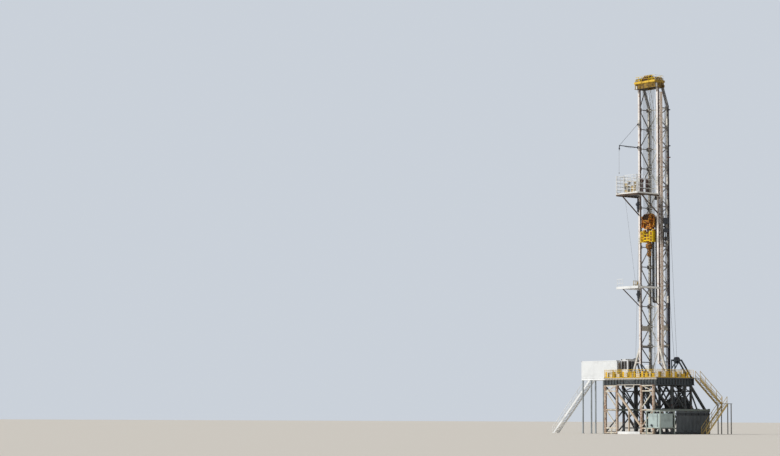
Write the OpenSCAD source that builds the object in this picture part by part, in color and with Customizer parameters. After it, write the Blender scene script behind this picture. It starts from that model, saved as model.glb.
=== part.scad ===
// Land drilling rig with a front-opening mast, as a scale model at 1:10.
// Sizes are millimetres of the model: 100 here stand for one metre of the real rig.
// The origin is the centre of the rotary table at drill floor level, above the well.
// +Z is up, -Y is the open front of the mast, and +Y is the side of the drawworks.

/* [Substructure] */
// Height of the drill floor above the ground
floor_h = 760; // [740:5:780]
// Width of the drill floor
floor_w = 990; // [980:2:1000]
// Distance from the well to the front edge of the floor
floor_front = 390; // [385:1:395]
// Distance from the well to the back edge of the floor
floor_back = 355; // [350:1:360]
// Depth of the beams under the floor
beam_h = 100; // [90:5:110]
// Width of each of the two boxes that carry the floor
box_w = 250; // [246:1:254]
// Distance from the well to the inner face of the left box
left_in = 240; // [236:1:244]
// Distance from the well to the inner face of the right box
right_in = 195; // [190:1:198]
// Height of the lower boxes, which rest on the ground
lower_h = 340; // [330:5:350]
// Distance from the well to the back end of the lower boxes
base_back = 700; // [690:5:710]

/* [Mast] */
// Distance across the mast between the leg centres
mast_w = 350; // [346:1:354]
// Distance from the front legs to the back legs
mast_d = 190; // [186:1:194]
// Width of a leg
leg_w = 30; // [28:1:32]
// Height of the crown's underside above the floor
crown_z = 3985; // [3965:5:4000]
// Height of the lowest girt above the floor
knee_z = 440; // [435:1:445]
// Height of the highest girt above the floor
top_girt = 3710; // [3700:5:3720]
// Number of bays between the lowest and the highest girt
bays = 12; // [12:2:12]
// Height at which the back legs start to lean forward
lean_z = 3740; // [3735:1:3745]
// Height of the front legs' lower ends
stub_z = 190; // [180:5:200]
// Distance from the well to the feet of the front struts
strut_foot = 345; // [343:1:347]

/* [Boards] */
// Height of the racking board above the floor
rack_z = 2515; // [2505:5:2525]
// Height of the belly board above the floor
belly_z = 1230; // [1220:5:1240]
// Width of both boards
board_w = 410; // [406:2:414]
// Distance from the well to the front edge of both boards
board_front = 430; // [425:1:435]
// Height of the wind walls round the racking board
wall_h = 240; // [230:5:250]

/* [Hoisting] */
// Radius of the sheaves
sheave_r = 66; // [64:1:67]
// Number of sheaves on the crown and in the block
sheaves = 6; // [5:1:6]
// Height of the axis of the travelling block's sheaves
block_z = 2180; // [2170:5:2190]
// Radius of the drilling line
line_r = 1.8; // [1.6:0.1:2]
// Length of the jib arm
jib_l = 360; // [350:5:370]
// Height of the jib's lower pivot
jib_z = 3180; // [3170:5:3190]

/* [Floor houses] */
// Length of the doghouse
dog_l = 695; // [685:5:705]
// Width of the doghouse
dog_w = 270; // [265:1:272]
// Height of the doghouse
dog_h = 245; // [240:1:250]
// Height of the driller's cabin
cabin_h = 265; // [260:1:270]
// Height of the handrails
rail_h = 110; // [105:1:115]

/* [Hidden] */
ground = -floor_h;
half_w = floor_w / 2;
lower_z = ground + lower_h;
beam_z = -beam_h;
plate = 8;
deck_z = -plate;

post_w = 26;
brace_t = 14;
stations = [13 - floor_front, -30, 225, 343];
low_stations = [475, 590, base_back - post_w / 2];
left_x = [-left_in - box_w, -left_in];
right_x = [right_in, right_in + box_w];
beam_w = 30;
beam_web = 8;
girder_x = [-half_w + 15, -left_in - 15, -95, 95, right_in + 15, half_w - 15];
seam = 2;
panel_x = [-half_w, -100, 100, half_w];
panel_y = [-floor_front, -120, 120, floor_back];
rotary_r = 47.6;
rotary_hole = 66;

leg_x = mast_w / 2;
flange = 4;
bay_h = (top_girt - knee_z) / bays;
lattice_t = 10;
lattice_w = 12;
crown_front = -70;
crown_back = 112;
crown_x = 190;
crown_h = 90;
eye_y = 92;
crown_top = crown_z + crown_h;

sheave_z = crown_top + 24;
sheave_w = 17;
pack_w = sheaves * sheave_w;
cheek_x = pack_w / 2 + 3;
cheek_t = 10;
groove_r = sheave_r - 8;
shaft_r = 10;
play = 0.05;
line_y = groove_r + line_r + 0.3;

board_t = 16;
fascia_h = 38;
arm_in = 130;
bar_t = 5;
wall_rails = [45, 93, 141, 189, wall_h - bar_t];
pivot = [-leg_x, -35];
pin_r = 4;
pendant_z = jib_z + 320;

block_low = block_z - 140;
wing_x = 115;
drive_top = block_z - 148;
drive_low = block_z - 320;
loop_x = [76, 140];
loop_low = 1020;
loop_top = 2200;
loop_hoses = [-18, -6, 6, 18];
hose_r = 4;
loop_r = (loop_x[1] - loop_x[0]) / 2;
loop_turn = loop_low + loop_r + hose_r;
// Line of a hose, as places along X and Z: down, round the half turn, and up again
loop_points = concat(
  [for (k = [0:6]) [loop_x[0], drive_low - (drive_low - loop_turn) * k / 6]],
  [for (k = [1:11]) [loop_x[0] + loop_r * (1 - cos(15 * k)), loop_turn - loop_r * sin(15 * k)]],
  [for (k = [0:8]) [loop_x[1], loop_turn + (loop_top - loop_turn) * k / 8]]
);

dog_x1 = -half_w - 5;
dog_x0 = dog_x1 - dog_l;
dog_y = [-dog_w / 2, dog_w / 2];
dog_floor = [-20, 12];
wall_t = 8;
cabin_x = [-half_w, -362];
cabin_y = [-60, 90];
rail_r = 2.5;

stair_y = [20, 110];
lane_a = [505, 595];
lane_b = [602, 692];
frame_x = [412, 472];
sheave_y = [175, 65];
landing_y = [785, 880];
landing_z = -340;

tank_x = [470, 710];
tank_y = [-540, -280];
tank_z = [ground + 92, ground + 276];

// Height of girt number k of the mast
function girt_z(k) = knee_z + k * bay_h;

// Flat bar of width w from point p to point q, drawn in a plane
module bar(p, q, w) {
  n = [p.y - q.y, q.x - p.x] / norm(q - p) * w / 2;
  polygon([p + n, p - n, q - n, q + n]);
}

// Plane figure set upright across Y: its x runs along Y and its y runs up
module side_frame(x, t)
  translate([x, 0, 0]) rotate([90, 0, 90])
    linear_extrude(t, center = true) children();

// Plane figure set upright across X: its x runs along X and its y runs up
module cross_frame(y, t)
  translate([0, y, 0]) rotate([90, 0, 0])
    linear_extrude(t, center = true) children();

// Round bar of radius r from point p to point q in space
module rod(p, q, r, sides = 8) {
  d = q - p;
  translate(p) rotate([0, acos(d.z / norm(d)), atan2(d.y, d.x)])
    cylinder(r = r, h = norm(d), $fn = sides);
}

// Block given by its low corner and its high corner
module block(a, b) translate(a) cube(b - a);

// I section of a floor beam, centred across and hung below z = 0
module beam_section(h) {
  translate([-beam_w / 2, -plate]) square([beam_w, plate]);
  translate([-beam_w / 2, -h]) square([beam_w, plate]);
  translate([-beam_web / 2, -h]) square([beam_web, h]);
}

// Floor beam along Y from y0 to y1
module girder(x, y0, y1)
  translate([x, y1, deck_z]) rotate([90, 0, 0])
    linear_extrude(y1 - y0) beam_section(beam_h - plate);

// Floor beam along X from x0 to x1
module cross_beam(y, x0, x1)
  translate([x0, y, deck_z]) rotate([90, 0, 90])
    linear_extrude(x1 - x0) beam_section(beam_h - plate);

// Posts and chords of one lengthwise wall of a base box
module base_wall_posts() {
  bar([-floor_front, ground + 16], [base_back, ground + 16], 32);
  bar([-floor_front, lower_z - 13], [base_back, lower_z - 13], 26);
  for (y = stations)
    bar([y, ground], [y, beam_z], post_w);
  for (y = low_stations)
    bar([y, ground], [y, lower_z], post_w);
  bar([stations[3], beam_z - 10], [625, lower_z - 14], 30);
}

// Braces of one lengthwise wall of a base box
module base_wall_braces() {
  low = ground + 20;
  high = lower_z - 13;
  bar([stations[0], low], [stations[1], high], 14);
  bar([stations[1], high], [stations[2], low], 14);
  bar([stations[2], low], [stations[3], high], 14);
  for (k = [0:1])
    bar([low_stations[k], low], [low_stations[k + 1], high], 14);
  bar([stations[0], beam_z - 8], [stations[1], high], 14);
  bar([stations[1], beam_z - 8], [stations[2], high], 14);
  bar([stations[2], beam_z - 8], [stations[1], high], 14);
  bar([stations[3], -190], [470, high], 16);
}

module base_wall(x) {
  color("darkslategray")
    intersection() {
      union() {
        side_frame(x, post_w) base_wall_posts();
        side_frame(x, brace_t) base_wall_braces();
      }
      block([x - 20, -floor_front, ground], [x + 20, base_back, beam_z]);
    }
}

module base_left_outer() base_wall(left_x[0] + post_w / 2);
module base_left_inner() base_wall(left_x[1] - post_w / 2);
module base_right_inner() base_wall(right_x[0] + post_w / 2);
module base_right_outer() base_wall(right_x[1] - post_w / 2);

// Cross frame of a box between its two walls, with its braces falling towards x1
module tower_frame(x0, x1, y, top) {
  low = min(x0, x1);
  high = max(x0, x1);
  intersection() {
    union() {
      cross_frame(y, 20)
        for (z = [ground + 16, ground + 80, lower_z - 13, lower_z + 240, beam_z - 8])
          if (z < top) bar([low, z], [high, z], 16);
      cross_frame(y, 12) {
        bar([x0, lower_z - 20], [x1, ground + 110], 11);
        bar([(x0 + x1) / 2, ground], [(x0 + x1) / 2, ground + 80], 12);
        if (top > lower_z) {
          bar([x0, lower_z + 230], [x1, lower_z + 20], 11);
          bar([x0, lower_z + 240], [x1, beam_z - 8], 9);
        }
      }
    }
    block([low, y - 10, ground], [high, y + 10, top]);
  }
}

module base_cross(x0, x1) {
  color("lightgray") {
    for (y = stations)
      tower_frame(x0, x1, y, beam_z);
    for (y = [low_stations[0], low_stations[2]])
      tower_frame(x0, x1, y, lower_z);
  }
}

module base_left_cross() base_cross(left_x[0] + post_w, left_x[1] - post_w);
module base_right_cross() base_cross(right_x[1] - post_w, right_x[0] + post_w);

// Beams on the ground that hold the two boxes apart
module ground_spreaders() {
  color("white")
    for (y = [-floor_front, base_back - 28])
      block([left_x[1], y, ground], [right_x[0], y + 28, ground + 34]);
}

// Long braces across the open bay, one under the floor's front edge and one behind the well
module front_brace() {
  color("tan")
    for (y = [stations[0], stations[2]])
      intersection() {
        cross_frame(y, 20) {
          bar([left_x[1], -205], [right_x[0], -650], 24);
          if (y == stations[0])
            bar([-27, -430], [-27, ground + 34], 16);
        }
        block([left_x[1], y - 10, ground + 34], [right_x[0], y + 10, beam_z]);
      }
}

// Braces across the open bay under the floor's back edge
module rear_braces() {
  middle = (left_x[1] + right_x[0]) / 2;
  color("dimgray")
    intersection() {
      cross_frame(stations[3], 20) {
        bar([left_x[1], lower_z + 10], [middle, beam_z - 12], 20);
        bar([right_x[0], lower_z + 10], [middle, beam_z - 12], 20);
      }
      block([left_x[1], stations[3] - 10, ground], [right_x[0], stations[3] + 10, beam_z]);
    }
}

// Low platforms behind the floor, between the walls of the lower boxes
module rear_platform() {
  edges = [left_x[0] + post_w, left_x[1] - post_w, left_x[1], right_x[0],
           right_x[0] + post_w, right_x[1] - post_w];
  color("dimgray")
    for (k = [0, 2, 4])
      block([edges[k], stations[3] + 40, lower_z - 5], [edges[k + 1], base_back - 26, lower_z]);
}

// Lengthwise beams under the floor plate
module floor_girders() {
  color("dimgray")
    for (x = girder_x)
      girder(x, -floor_front + beam_w, floor_back - beam_w);
}

// Crosswise beams under the floor plate, with the bracket under the front one
module floor_cross_beams() {
  color("dimgray") {
    cross_beam(-floor_front + beam_w / 2, -half_w, half_w);
    cross_beam(floor_back - beam_w / 2, -half_w, half_w);
    for (y = [-110, 110, 225])
      for (k = [0:len(girder_x) - 2])
        cross_beam(y, girder_x[k] + beam_w / 2, girder_x[k + 1] - beam_w / 2);
    cross_frame(-floor_front + beam_w / 2, 10)
      difference() {
        polygon([[-120, beam_z], [80, beam_z], [62, beam_z - 34], [-102, beam_z - 34]]);
        polygon([[-98, beam_z - 1], [58, beam_z - 1], [50, beam_z - 26], [-90, beam_z - 26]]);
      }
  }
}

// Floor plates round the rotary plate, with seams between them
module floor_deck() {
  color("gray")
    for (i = [0:2])
      for (j = [0:2])
        if (i != 1 || j != 1)
          block([panel_x[i] + (i > 0 ? seam / 2 : 0), panel_y[j] + (j > 0 ? seam / 2 : 0), deck_z],
                [panel_x[i + 1] - (i < 2 ? seam / 2 : 0),
                 panel_y[j + 1] - (j < 2 ? seam / 2 : 0), 0]);
}

module rotary_plate() {
  color("gray")
    difference() {
      block([panel_x[1] + seam / 2, panel_y[1] + seam / 2, deck_z],
            [panel_x[2] - seam / 2, panel_y[2] - seam / 2, 0]);
      translate([0, 0, deck_z - 1]) cylinder(r = rotary_hole, h = plate + 2, $fn = 64);
    }
}

// Rotary table: a ring that hangs in the plate by its flange
module rotary_table() {
  color("dimgray")
    rotate_extrude($fn = 96)
      difference() {
        union() {
          translate([rotary_r, -40]) square([58 - rotary_r, 46]);
          translate([rotary_r, 0]) square([78 - rotary_r, 6]);
        }
        translate([68, 4]) square([4, 3]);
      }
}

// Drawworks in its closed housing: a rounded drum hood between two motor boxes
module drawworks() {
  color("dimgray") {
    block([-190, 430, lower_z], [190, 650, lower_z + 16]);
    side_frame(0, 200) {
      translate([455, lower_z + 16]) square([170, 70]);
      translate([540, lower_z + 86]) circle(r = 85, $fn = 48);
    }
    for (side = [-1, 1])
      block([side > 0 ? 100 : -175, 465, lower_z + 16], [side > 0 ? 175 : -100, 615, lower_z + 116]);
  }
}

// Outline of the trip tank seen from above, with round corners
module tank_outline(inset) {
  r = 36;
  for (x = [tank_x[0] + r, tank_x[1] - r])
    for (y = [tank_y[0] + r, tank_y[1] - r])
      translate([x, y]) circle(r = r - inset, $fn = 32);
  translate([tank_x[0] + r, tank_y[0] + inset])
    square([tank_x[1] - tank_x[0] - 2 * r, tank_y[1] - tank_y[0] - 2 * inset]);
  translate([tank_x[0] + inset, tank_y[0] + r])
    square([tank_x[1] - tank_x[0] - 2 * inset, tank_y[1] - tank_y[0] - 2 * r]);
}

module trip_tank_shell() {
  color("lightgreen")
    translate([0, 0, tank_z[0] + 4])
      linear_extrude(tank_z[1] - tank_z[0] - 8)
        difference() {
          tank_outline(0);
          tank_outline(4);
        }
}

module trip_tank_ends() {
  color("lightgreen")
    for (z = [tank_z[0], tank_z[1] - 4])
      translate([0, 0, z]) linear_extrude(4) tank_outline(0);
}

// Frame that carries the trip tank, tied to the right box at its front post
module trip_tank_frame() {
  out = 12;
  top = tank_z[1] + 40;
  color("lightgray") {
    for (x = [tank_x[0] - out, tank_x[1]])
      for (y = [tank_y[0] - out, tank_y[1]]) {
        block([x, y, ground], [x + out, y + out, top]);
        block([x - 6, y - 6, ground], [x + out + 6, y + out + 6, ground + 5]);
      }
    for (y = [tank_y[0] - out, tank_y[1]]) {
      block([tank_x[0], y, top - 12], [tank_x[1], y + out, top]);
      block([tank_x[0], y, tank_z[0] - 10], [tank_x[1], y + out, tank_z[0]]);
    }
    for (x = [tank_x[0] - out, tank_x[1]])
      block([x, tank_y[0], top - 12], [x + out, tank_y[1], top]);
    for (x = [tank_x[0] + 40, tank_x[1] - 60])
      block([x, tank_y[0], tank_z[0] - 10], [x + 20, tank_y[1], tank_z[0]]);
    block([right_x[1], stations[0] - 7, top - 12], [tank_x[0] - out, stations[0] + 7, top]);
  }
}

// H section of a mast leg, with its flanges facing front and back
module leg_section() {
  for (side = [-1, 1])
    translate([-leg_w / 2, side * (leg_w - flange) / 2 - flange / 2])
      square([leg_w, flange]);
  translate([-flange / 2, -leg_w / 2]) square([flange, leg_w]);
}

// Braces of a side of the mast that run corner to corner, turning at each girt
module zigzag_braces()
  for (k = [0:bays - 1])
    bar([k % 2 == 0 ? 0 : mast_d, girt_z(k)],
        [k % 2 == 0 ? mast_d : 0, girt_z(k + 1)], lattice_w);

// Braces of a side of the mast that meet at the front leg in the middle of each bay
module k_braces()
  for (k = [0:bays - 1])
    for (end = [0, 1])
      bar([0, girt_z(k + 0.5)], [mast_d, girt_z(k + end)], lattice_w);

// Side of the mast: front leg, back leg and the lattice between them
module mast_side(side) {
  x = side * leg_x;
  translate([x, 0, stub_z]) linear_extrude(crown_z - stub_z) leg_section();
  translate([x, mast_d, 0]) linear_extrude(lean_z) leg_section();
  side_frame(x, leg_w)
    polygon([
      [mast_d - leg_w / 2, lean_z], [mast_d + leg_w / 2, lean_z],
      [crown_back, crown_z], [crown_back - leg_w, crown_z]
    ]);
  intersection() {
    side_frame(x, lattice_t) {
      for (k = [1:bays])
        bar([0, girt_z(k)], [mast_d, girt_z(k)], lattice_w);
      if (side < 0) zigzag_braces();
      else k_braces();
      bar([0, top_girt], [crown_back, crown_z], lattice_w);
      bar([0, 220], [mast_d, 220], lattice_w);
      bar([0, knee_z], [mast_d, 230], lattice_w);
      bar([0, 210], [mast_d, 24], lattice_w);
      translate([0, 650]) square([mast_d, 62]);
      translate([0, knee_z - 24]) square([mast_d, 34]);
    }
    block([x - 20, leg_w / 2 - 1, 0], [x + 20, mast_d - leg_w / 2 + 1, crown_z]);
  }
  side_frame(x, 24)
    translate([leg_w / 2 - 1, knee_z - 24]) square([mast_d - leg_w + 2, 34]);
  block([x - 26, mast_d - 26, 0], [x + 26, mast_d + 26, 10]);
}

// Lugs and pins on the left front leg that the jib turns on
module jib_bearing(z, gap) {
  for (end = [-1, 1])
    block([pivot.x - 10, pivot.y - 10, z + end * (gap / 2 + 3) - 3],
          [pivot.x + 10, -leg_w / 2, z + end * (gap / 2 + 3) + 3]);
  translate([pivot.x, pivot.y, z - gap / 2 - 3]) cylinder(r = pin_r, h = gap + 6, $fn = 32);
}

module mast_left_side() {
  color("whitesmoke") {
    mast_side(-1);
    jib_bearing(jib_z, 32);
    jib_bearing(pendant_z, 26);
  }
}

module mast_right_side() {
  color("whitesmoke") {
    mast_side(1);
    block([loop_x[1] - 10, -24, loop_top], [leg_x - leg_w / 2 + 1, 24, loop_top + 10]);
    for (z = [3020, 3180, 3680])
      block([leg_x + flange / 2, mast_d - 8, z], [leg_x + 48, mast_d + 8, z + 14]);
  }
}

// Back of the mast, between the webs of the back legs
module mast_back() {
  inner = leg_x - flange / 2;
  color("whitesmoke")
    intersection() {
      cross_frame(mast_d, lattice_t) {
        for (k = [0:bays])
          bar([-leg_x, girt_z(k)], [leg_x, girt_z(k)], k % 2 == 0 ? 16 : 9);
        for (k = [1:2:bays - 1])
          for (side = [-1, 1])
            for (end = [-1, 1])
              bar([side * leg_x, girt_z(k)], [0, girt_z(k + end)], lattice_w);
        for (side = [-1, 1])
          bar([side * leg_x, 20], [0, knee_z], lattice_w);
      }
      block([-inner, mast_d - 20, 10], [inner, mast_d + 20, lean_z]);
    }
}

// Struts that spread from the front legs out to the floor, each with a tie
module mast_struts() {
  foot = 13;
  color("whitesmoke")
    for (side = [-1, 1]) {
      intersection() {
        cross_frame(0, leg_w - 2 * flange) {
          bar([side * leg_x, knee_z], [side * strut_foot, 0], 26);
          bar([side * leg_x, 215], [side * 270, 215], 12);
        }
        block([side > 0 ? leg_x + flange / 2 : -500, -20, 8],
              [side > 0 ? 500 : -leg_x - flange / 2, 20, knee_z + 10]);
      }
      block([side * strut_foot - foot, -26, 0], [side * strut_foot + foot, 26, 8]);
    }
}

// Pipe tray and pipes up the outside of the right front leg
module standpipe() {
  x = leg_x + leg_w / 2;
  color("tan") {
    difference() {
      block([x + 4, 16, 250], [x + 16, 62, crown_z - 60]);
      block([x + 8, 20, 240], [x + 20, 58, crown_z]);
    }
    for (k = [0:6])
      block([x, 6, 300 + k * 580], [x + 4, 40, 318 + k * 580]);
    for (y = [28, 46])
      translate([x + 13, y, 0])
        cylinder(r = 5, h = crown_z - 100, $fn = 12);
  }
}

// Crown: girders round its edge, two inner ones that carry the sheave shaft, and walkways
module crown_frame() {
  t = 8;
  color("goldenrod") {
    difference() {
      block([-crown_x, crown_front, crown_z], [crown_x, crown_front + t, crown_top]);
      translate([0, 0, sheave_z]) rotate([0, 90, 0])
        cylinder(r = sheave_r + 6, h = 2 * cheek_x, center = true, $fn = 64);
    }
    block([-crown_x, crown_back - t, crown_z], [crown_x, crown_back, crown_top]);
    for (side = [-1, 1]) {
      block([side > 0 ? crown_x - t : -crown_x, crown_front, crown_z],
            [side > 0 ? crown_x : -crown_x + t, crown_back, crown_top]);
      block([side > 0 ? cheek_x : -cheek_x - cheek_t, crown_front, crown_z],
            [side > 0 ? cheek_x + cheek_t : -cheek_x, crown_back, crown_top]);
      for (y = [15, 75])
        block([side > 0 ? cheek_x + cheek_t : -crown_x + t, y, crown_z + 10],
              [side > 0 ? crown_x - t : -cheek_x - cheek_t, y + 6, crown_top - 6]);
      block([side > 0 ? cheek_x + cheek_t : -crown_x + t, crown_front + t, crown_top - 6],
            [side > 0 ? crown_x - t : -cheek_x - cheek_t, crown_back - t, crown_top]);
      side_frame(side * (cheek_x + cheek_t / 2), cheek_t)
        polygon([[-42, crown_top - 1], [42, crown_top - 1], [24, sheave_z + 20],
                 [-24, sheave_z + 20]]);
      block([side > 0 ? crown_x : -crown_x - 24, eye_y - 8, crown_z + 8],
            [side > 0 ? crown_x + 24 : -crown_x, eye_y + 8, crown_z + 34]);
    }
    translate([-cheek_x - cheek_t, 0, sheave_z]) rotate([0, 90, 0])
      cylinder(r = shaft_r, h = 2 * (cheek_x + cheek_t), $fn = 48);
  }
}

// Row of sheaves of a block, turned as one piece with its bore
module sheave_pack() {
  rotate([0, 90, 0])
    rotate_extrude($fn = 64)
      difference() {
        translate([shaft_r + play, -pack_w / 2])
          square([sheave_r - shaft_r - play, pack_w]);
        for (k = [0:sheaves - 1])
          translate([sheave_r, (k - (sheaves - 1) / 2) * sheave_w])
            polygon([[1, -5.5], [1, 5.5], [groove_r - sheave_r, 2.8],
                     [groove_r - sheave_r, -2.8]]);
      }
}

module crown_sheaves()
  color("saddlebrown") translate([0, 0, sheave_z]) sheave_pack();

module block_sheaves()
  color("saddlebrown") translate([0, 0, block_z]) sheave_pack();

// Falls of the drilling line between the crown and the travelling block
module drill_lines() {
  color("darkolivegreen")
    for (k = [0:sheaves - 1])
      for (side = [-1, 1])
        translate([(k - (sheaves - 1) / 2) * sheave_w, side * line_y, block_z])
          cylinder(r = line_r, h = sheave_z - block_z, $fn = 8);
}

// Line from the crown down to the drawworks drum
module fast_line() {
  x = (sheaves - 1) / 2 * sheave_w;
  color("dimgray")
    rod([x, line_y + 5, sheave_z - 30], [x, 485, lower_z + 153], line_r);
}

// Open frame from a cheek plate out to the guide plate beside the legs
module guide_frame(side) {
  inner = cheek_x + cheek_t - 1;
  high = block_z + 38;
  for (z = [block_low + 22, high - 20])
    block([side > 0 ? inner : -wing_x, -12, z], [side > 0 ? wing_x : -inner, 12, z + 20]);
  block([side > 0 ? wing_x - 10 : -wing_x, -30, block_low + 22],
        [side > 0 ? wing_x : -wing_x + 10, 30, high]);
  cross_frame(0, 12)
    bar([side * inner, block_low + 40], [side * (wing_x - 4), high - 16], 10);
}

// Cheek plates, crosshead and shaft of the travelling block, with the guide frames at its sides
module travelling_block() {
  color("peru") {
    for (side = [-1, 1])
      side_frame(side * (cheek_x + cheek_t / 2), cheek_t) {
        translate([0, block_z]) circle(r = sheave_r + 4, $fn = 64);
        polygon([[-62, block_z - 30], [62, block_z - 30], [32, block_low], [-32, block_low]]);
      }
    for (side = [-1, 1])
      guide_frame(side);
    block([-cheek_x - 1, -30, block_low], [cheek_x + 1, 30, block_z - sheave_r - 10]);
    translate([-cheek_x - cheek_t, 0, block_z]) rotate([0, 90, 0])
      cylinder(r = shaft_r, h = 2 * (cheek_x + cheek_t), $fn = 48);
  }
}

// Top drive: gearbox between two motor towers, hung from the block by a bail
module top_drive() {
  color("gold") {
    for (side = [-1, 1]) {
      block([side > 0 ? 57 : -wing_x, -52, drive_low], [side > 0 ? wing_x : -57, 52, drive_top - 24]);
      translate([side * 86, 0, drive_top - 24]) cylinder(r = 24, h = 24, $fn = 32);
    }
    block([-58, -45, drive_low + 15], [58, 45, drive_top - 62]);
    for (side = [-1, 1])
      block([side > 0 ? 20 : -34, -8, drive_top - 63], [side > 0 ? 34 : -20, 8, block_low]);
    block([-34, -8, block_low - 14], [34, 8, block_low]);
  }
}

// Pipe handler under the top drive: stem, ring, links and elevator
module pipe_handler() {
  low = drive_low - 200;
  color("darkgoldenrod") {
    rotate_extrude($fn = 48)
      polygon([[0, drive_low + 15], [26, drive_low + 15], [26, drive_low - 20],
               [48, drive_low - 26], [48, drive_low - 78], [30, drive_low - 96],
               [14, drive_low - 100], [14, low + 52], [0, low + 52]]);
    for (side = [-1, 1])
      rod([side * 34, 0, drive_low - 80], [side * 26, 0, low + 26], 5);
    translate([0, 0, low])
      rotate_extrude($fn = 32)
        polygon([[0, 0], [18, 0], [30, 14], [30, 40], [18, 54], [0, 54]]);
  }
}

// Tube swept along points in the XZ plane, at distance y from the well's plane
module hanging_hose(y) {
  n = len(loop_points);
  sides = 8;
  function heading(i) =
    let (d = loop_points[min(i + 1, n - 1)] - loop_points[max(i - 1, 0)])
    d / norm(d);
  points = [
    for (i = [0:n - 1])
      let (h = heading(i))
      for (j = [0:sides - 1])
        let (a = 360 * j / sides)
        [loop_points[i].x + hose_r * cos(a) * h.y, y + hose_r * sin(a),
         loop_points[i].y - hose_r * cos(a) * h.x]
  ];
  faces = concat(
    [[for (j = [0:sides - 1]) j]],
    [[for (j = [sides - 1:-1:0]) (n - 1) * sides + j]],
    [for (i = [0:n - 2])
      for (j = [0:sides - 1])
        [i * sides + j, (i + 1) * sides + j, (i + 1) * sides + (j + 1) % sides,
         i * sides + (j + 1) % sides]]
  );
  polyhedron(points, faces);
}

// Hoses that hang in a loop from the top drive to a bracket on the mast
module service_loop() {
  color("darkslategray")
    for (y = loop_hoses)
      hanging_hose(y);
}

// Racking board: two side arms, a front walkway and a diving board between fingers
module racking_board() {
  x = board_w / 2;
  leg_face = -leg_w / 2;
  color("white") {
    difference() {
      block([-x, -board_front, rack_z - board_t], [x, leg_face, rack_z]);
      block([-arm_in, -board_front + 60, rack_z - board_t - 1], [arm_in, leg_face + 1, rack_z + 1]);
    }
    block([-22, -board_front + 59, rack_z - board_t], [22, -110, rack_z]);
    block([-x, -board_front, rack_z - fascia_h], [x, -board_front + 6, rack_z - board_t + 1]);
    for (side = [-1, 1]) {
      block([side > 0 ? x - 6 : -x, -board_front, rack_z - fascia_h],
            [side > 0 ? x : -x + 6, leg_face, rack_z - board_t + 1]);
      intersection() {
        side_frame(side * 182, 10)
          bar([-345, rack_z - board_t - 4], [0, 2235], 14);
        block([-x, -board_front, 2200], [x, leg_face, rack_z - board_t + 1]);
      }
    }
  }
}

// Fingers that hold the stands of pipe apart, fixed to the side arms
module racking_fingers() {
  color("saddlebrown")
    for (side = [-1, 1])
      for (k = [0:8])
        block([side > 0 ? 34 : -arm_in, -325 + k * 25, rack_z - board_t],
              [side > 0 ? arm_in : -34, -319 + k * 25, rack_z - 4]);
}

// Frame of a wind wall in its own plane, from place a to place b, with a post about every 60
module wall_frame(a, b) {
  n = round((b - a) / 60);
  for (k = [0:n])
    translate([a + (b - a - bar_t) * k / n, rack_z]) square([bar_t, wall_h]);
  for (h = wall_rails)
    translate([a, rack_z + h]) square([b - a, bar_t]);
}

// Wind wall frames of the racking board: the right part of the front, and the left side
module racking_walls() {
  x = board_w / 2;
  color("whitesmoke") {
    cross_frame(-board_front + bar_t / 2, bar_t) wall_frame(-57, x - 10);
    side_frame(-x + bar_t / 2, bar_t) wall_frame(-board_front + 12, -30);
  }
}

module belly_board() {
  x = board_w / 2;
  leg_face = -leg_w / 2;
  color("white") {
    block([-x, -board_front, belly_z - 26], [x, -board_front + 20, belly_z]);
    block([-x + 14, -330, belly_z - 20], [x - 14, -316, belly_z - 4]);
    for (side = [-1, 1]) {
      block([side > 0 ? x - 18 : -x, -board_front + 19, belly_z - 20],
            [side > 0 ? x : -x + 18, leg_face, belly_z]);
      intersection() {
        side_frame(side * 185, 8)
          bar([-330, belly_z - 14], [0, 985], 12);
        block([-x, -board_front, 900], [x, leg_face, belly_z - 1]);
      }
    }
  }
}

// Handrail between two points, with its posts at the ends and about every 150
module rail(p, q, heights, step = 150, r = rail_r) {
  top = max(heights);
  n = max(1, round(norm(q - p) / step));
  for (k = [0:n]) {
    a = p + (q - p) * k / n;
    rod(a, a + [0, 0, top], r, 6);
  }
  for (h = heights)
    rod(p + [0, 0, h - r], q + [0, 0, h - r], r, 6);
}

full_rail = [rail_h / 2, rail_h];

// Rails of the racking board and of the belly board
module board_rails() {
  x = board_w / 2;
  color("lightgray") {
    rail([-x + 5, -board_front + 4, rack_z], [-62, -board_front + 4, rack_z],
         [60, 108, 169, 230], 150, 3);
    rail([x - 5, -board_front + 8, rack_z], [x - 5, -30, rack_z], [60, 120, 180, 238], 120);
    rail([-x + 8, -board_front + 8, belly_z], [-90, -board_front + 8, belly_z], full_rail, 60);
  }
}

// Jib on the left front leg: arm, pendant and tip, turning on two pins
module jib() {
  color("dimgray") {
    difference() {
      union() {
        translate([pivot.x, pivot.y, jib_z - 15]) cylinder(r = 9, h = 30, $fn = 32);
        translate([pivot.x, pivot.y, pendant_z - 12]) cylinder(r = 8, h = 24, $fn = 32);
        block([pivot.x - 5, pivot.y - jib_l, jib_z - 5], [pivot.x + 5, pivot.y - 5, jib_z + 5]);
        side_frame(pivot.x, 3) {
          bar([pivot.y - 6, pendant_z], [pivot.y - jib_l + 8, jib_z + 4], 3);
          bar([pivot.y - 20, jib_z - 3], [pivot.y - 150, jib_z - 16], 3);
          bar([pivot.y - 150, jib_z - 16], [pivot.y - 280, jib_z - 3], 3);
          bar([pivot.y - 150, jib_z - 16], [pivot.y - 150, jib_z], 3);
        }
        translate([pivot.x - 4, pivot.y - jib_l + 7, jib_z - 6]) rotate([0, 90, 0])
          cylinder(r = 9, h = 8, $fn = 24);
      }
      for (z = [jib_z, pendant_z])
        translate([pivot.x, pivot.y, z - 20]) cylinder(r = pin_r + play, h = 40, $fn = 32);
    }
  }
}

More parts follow.
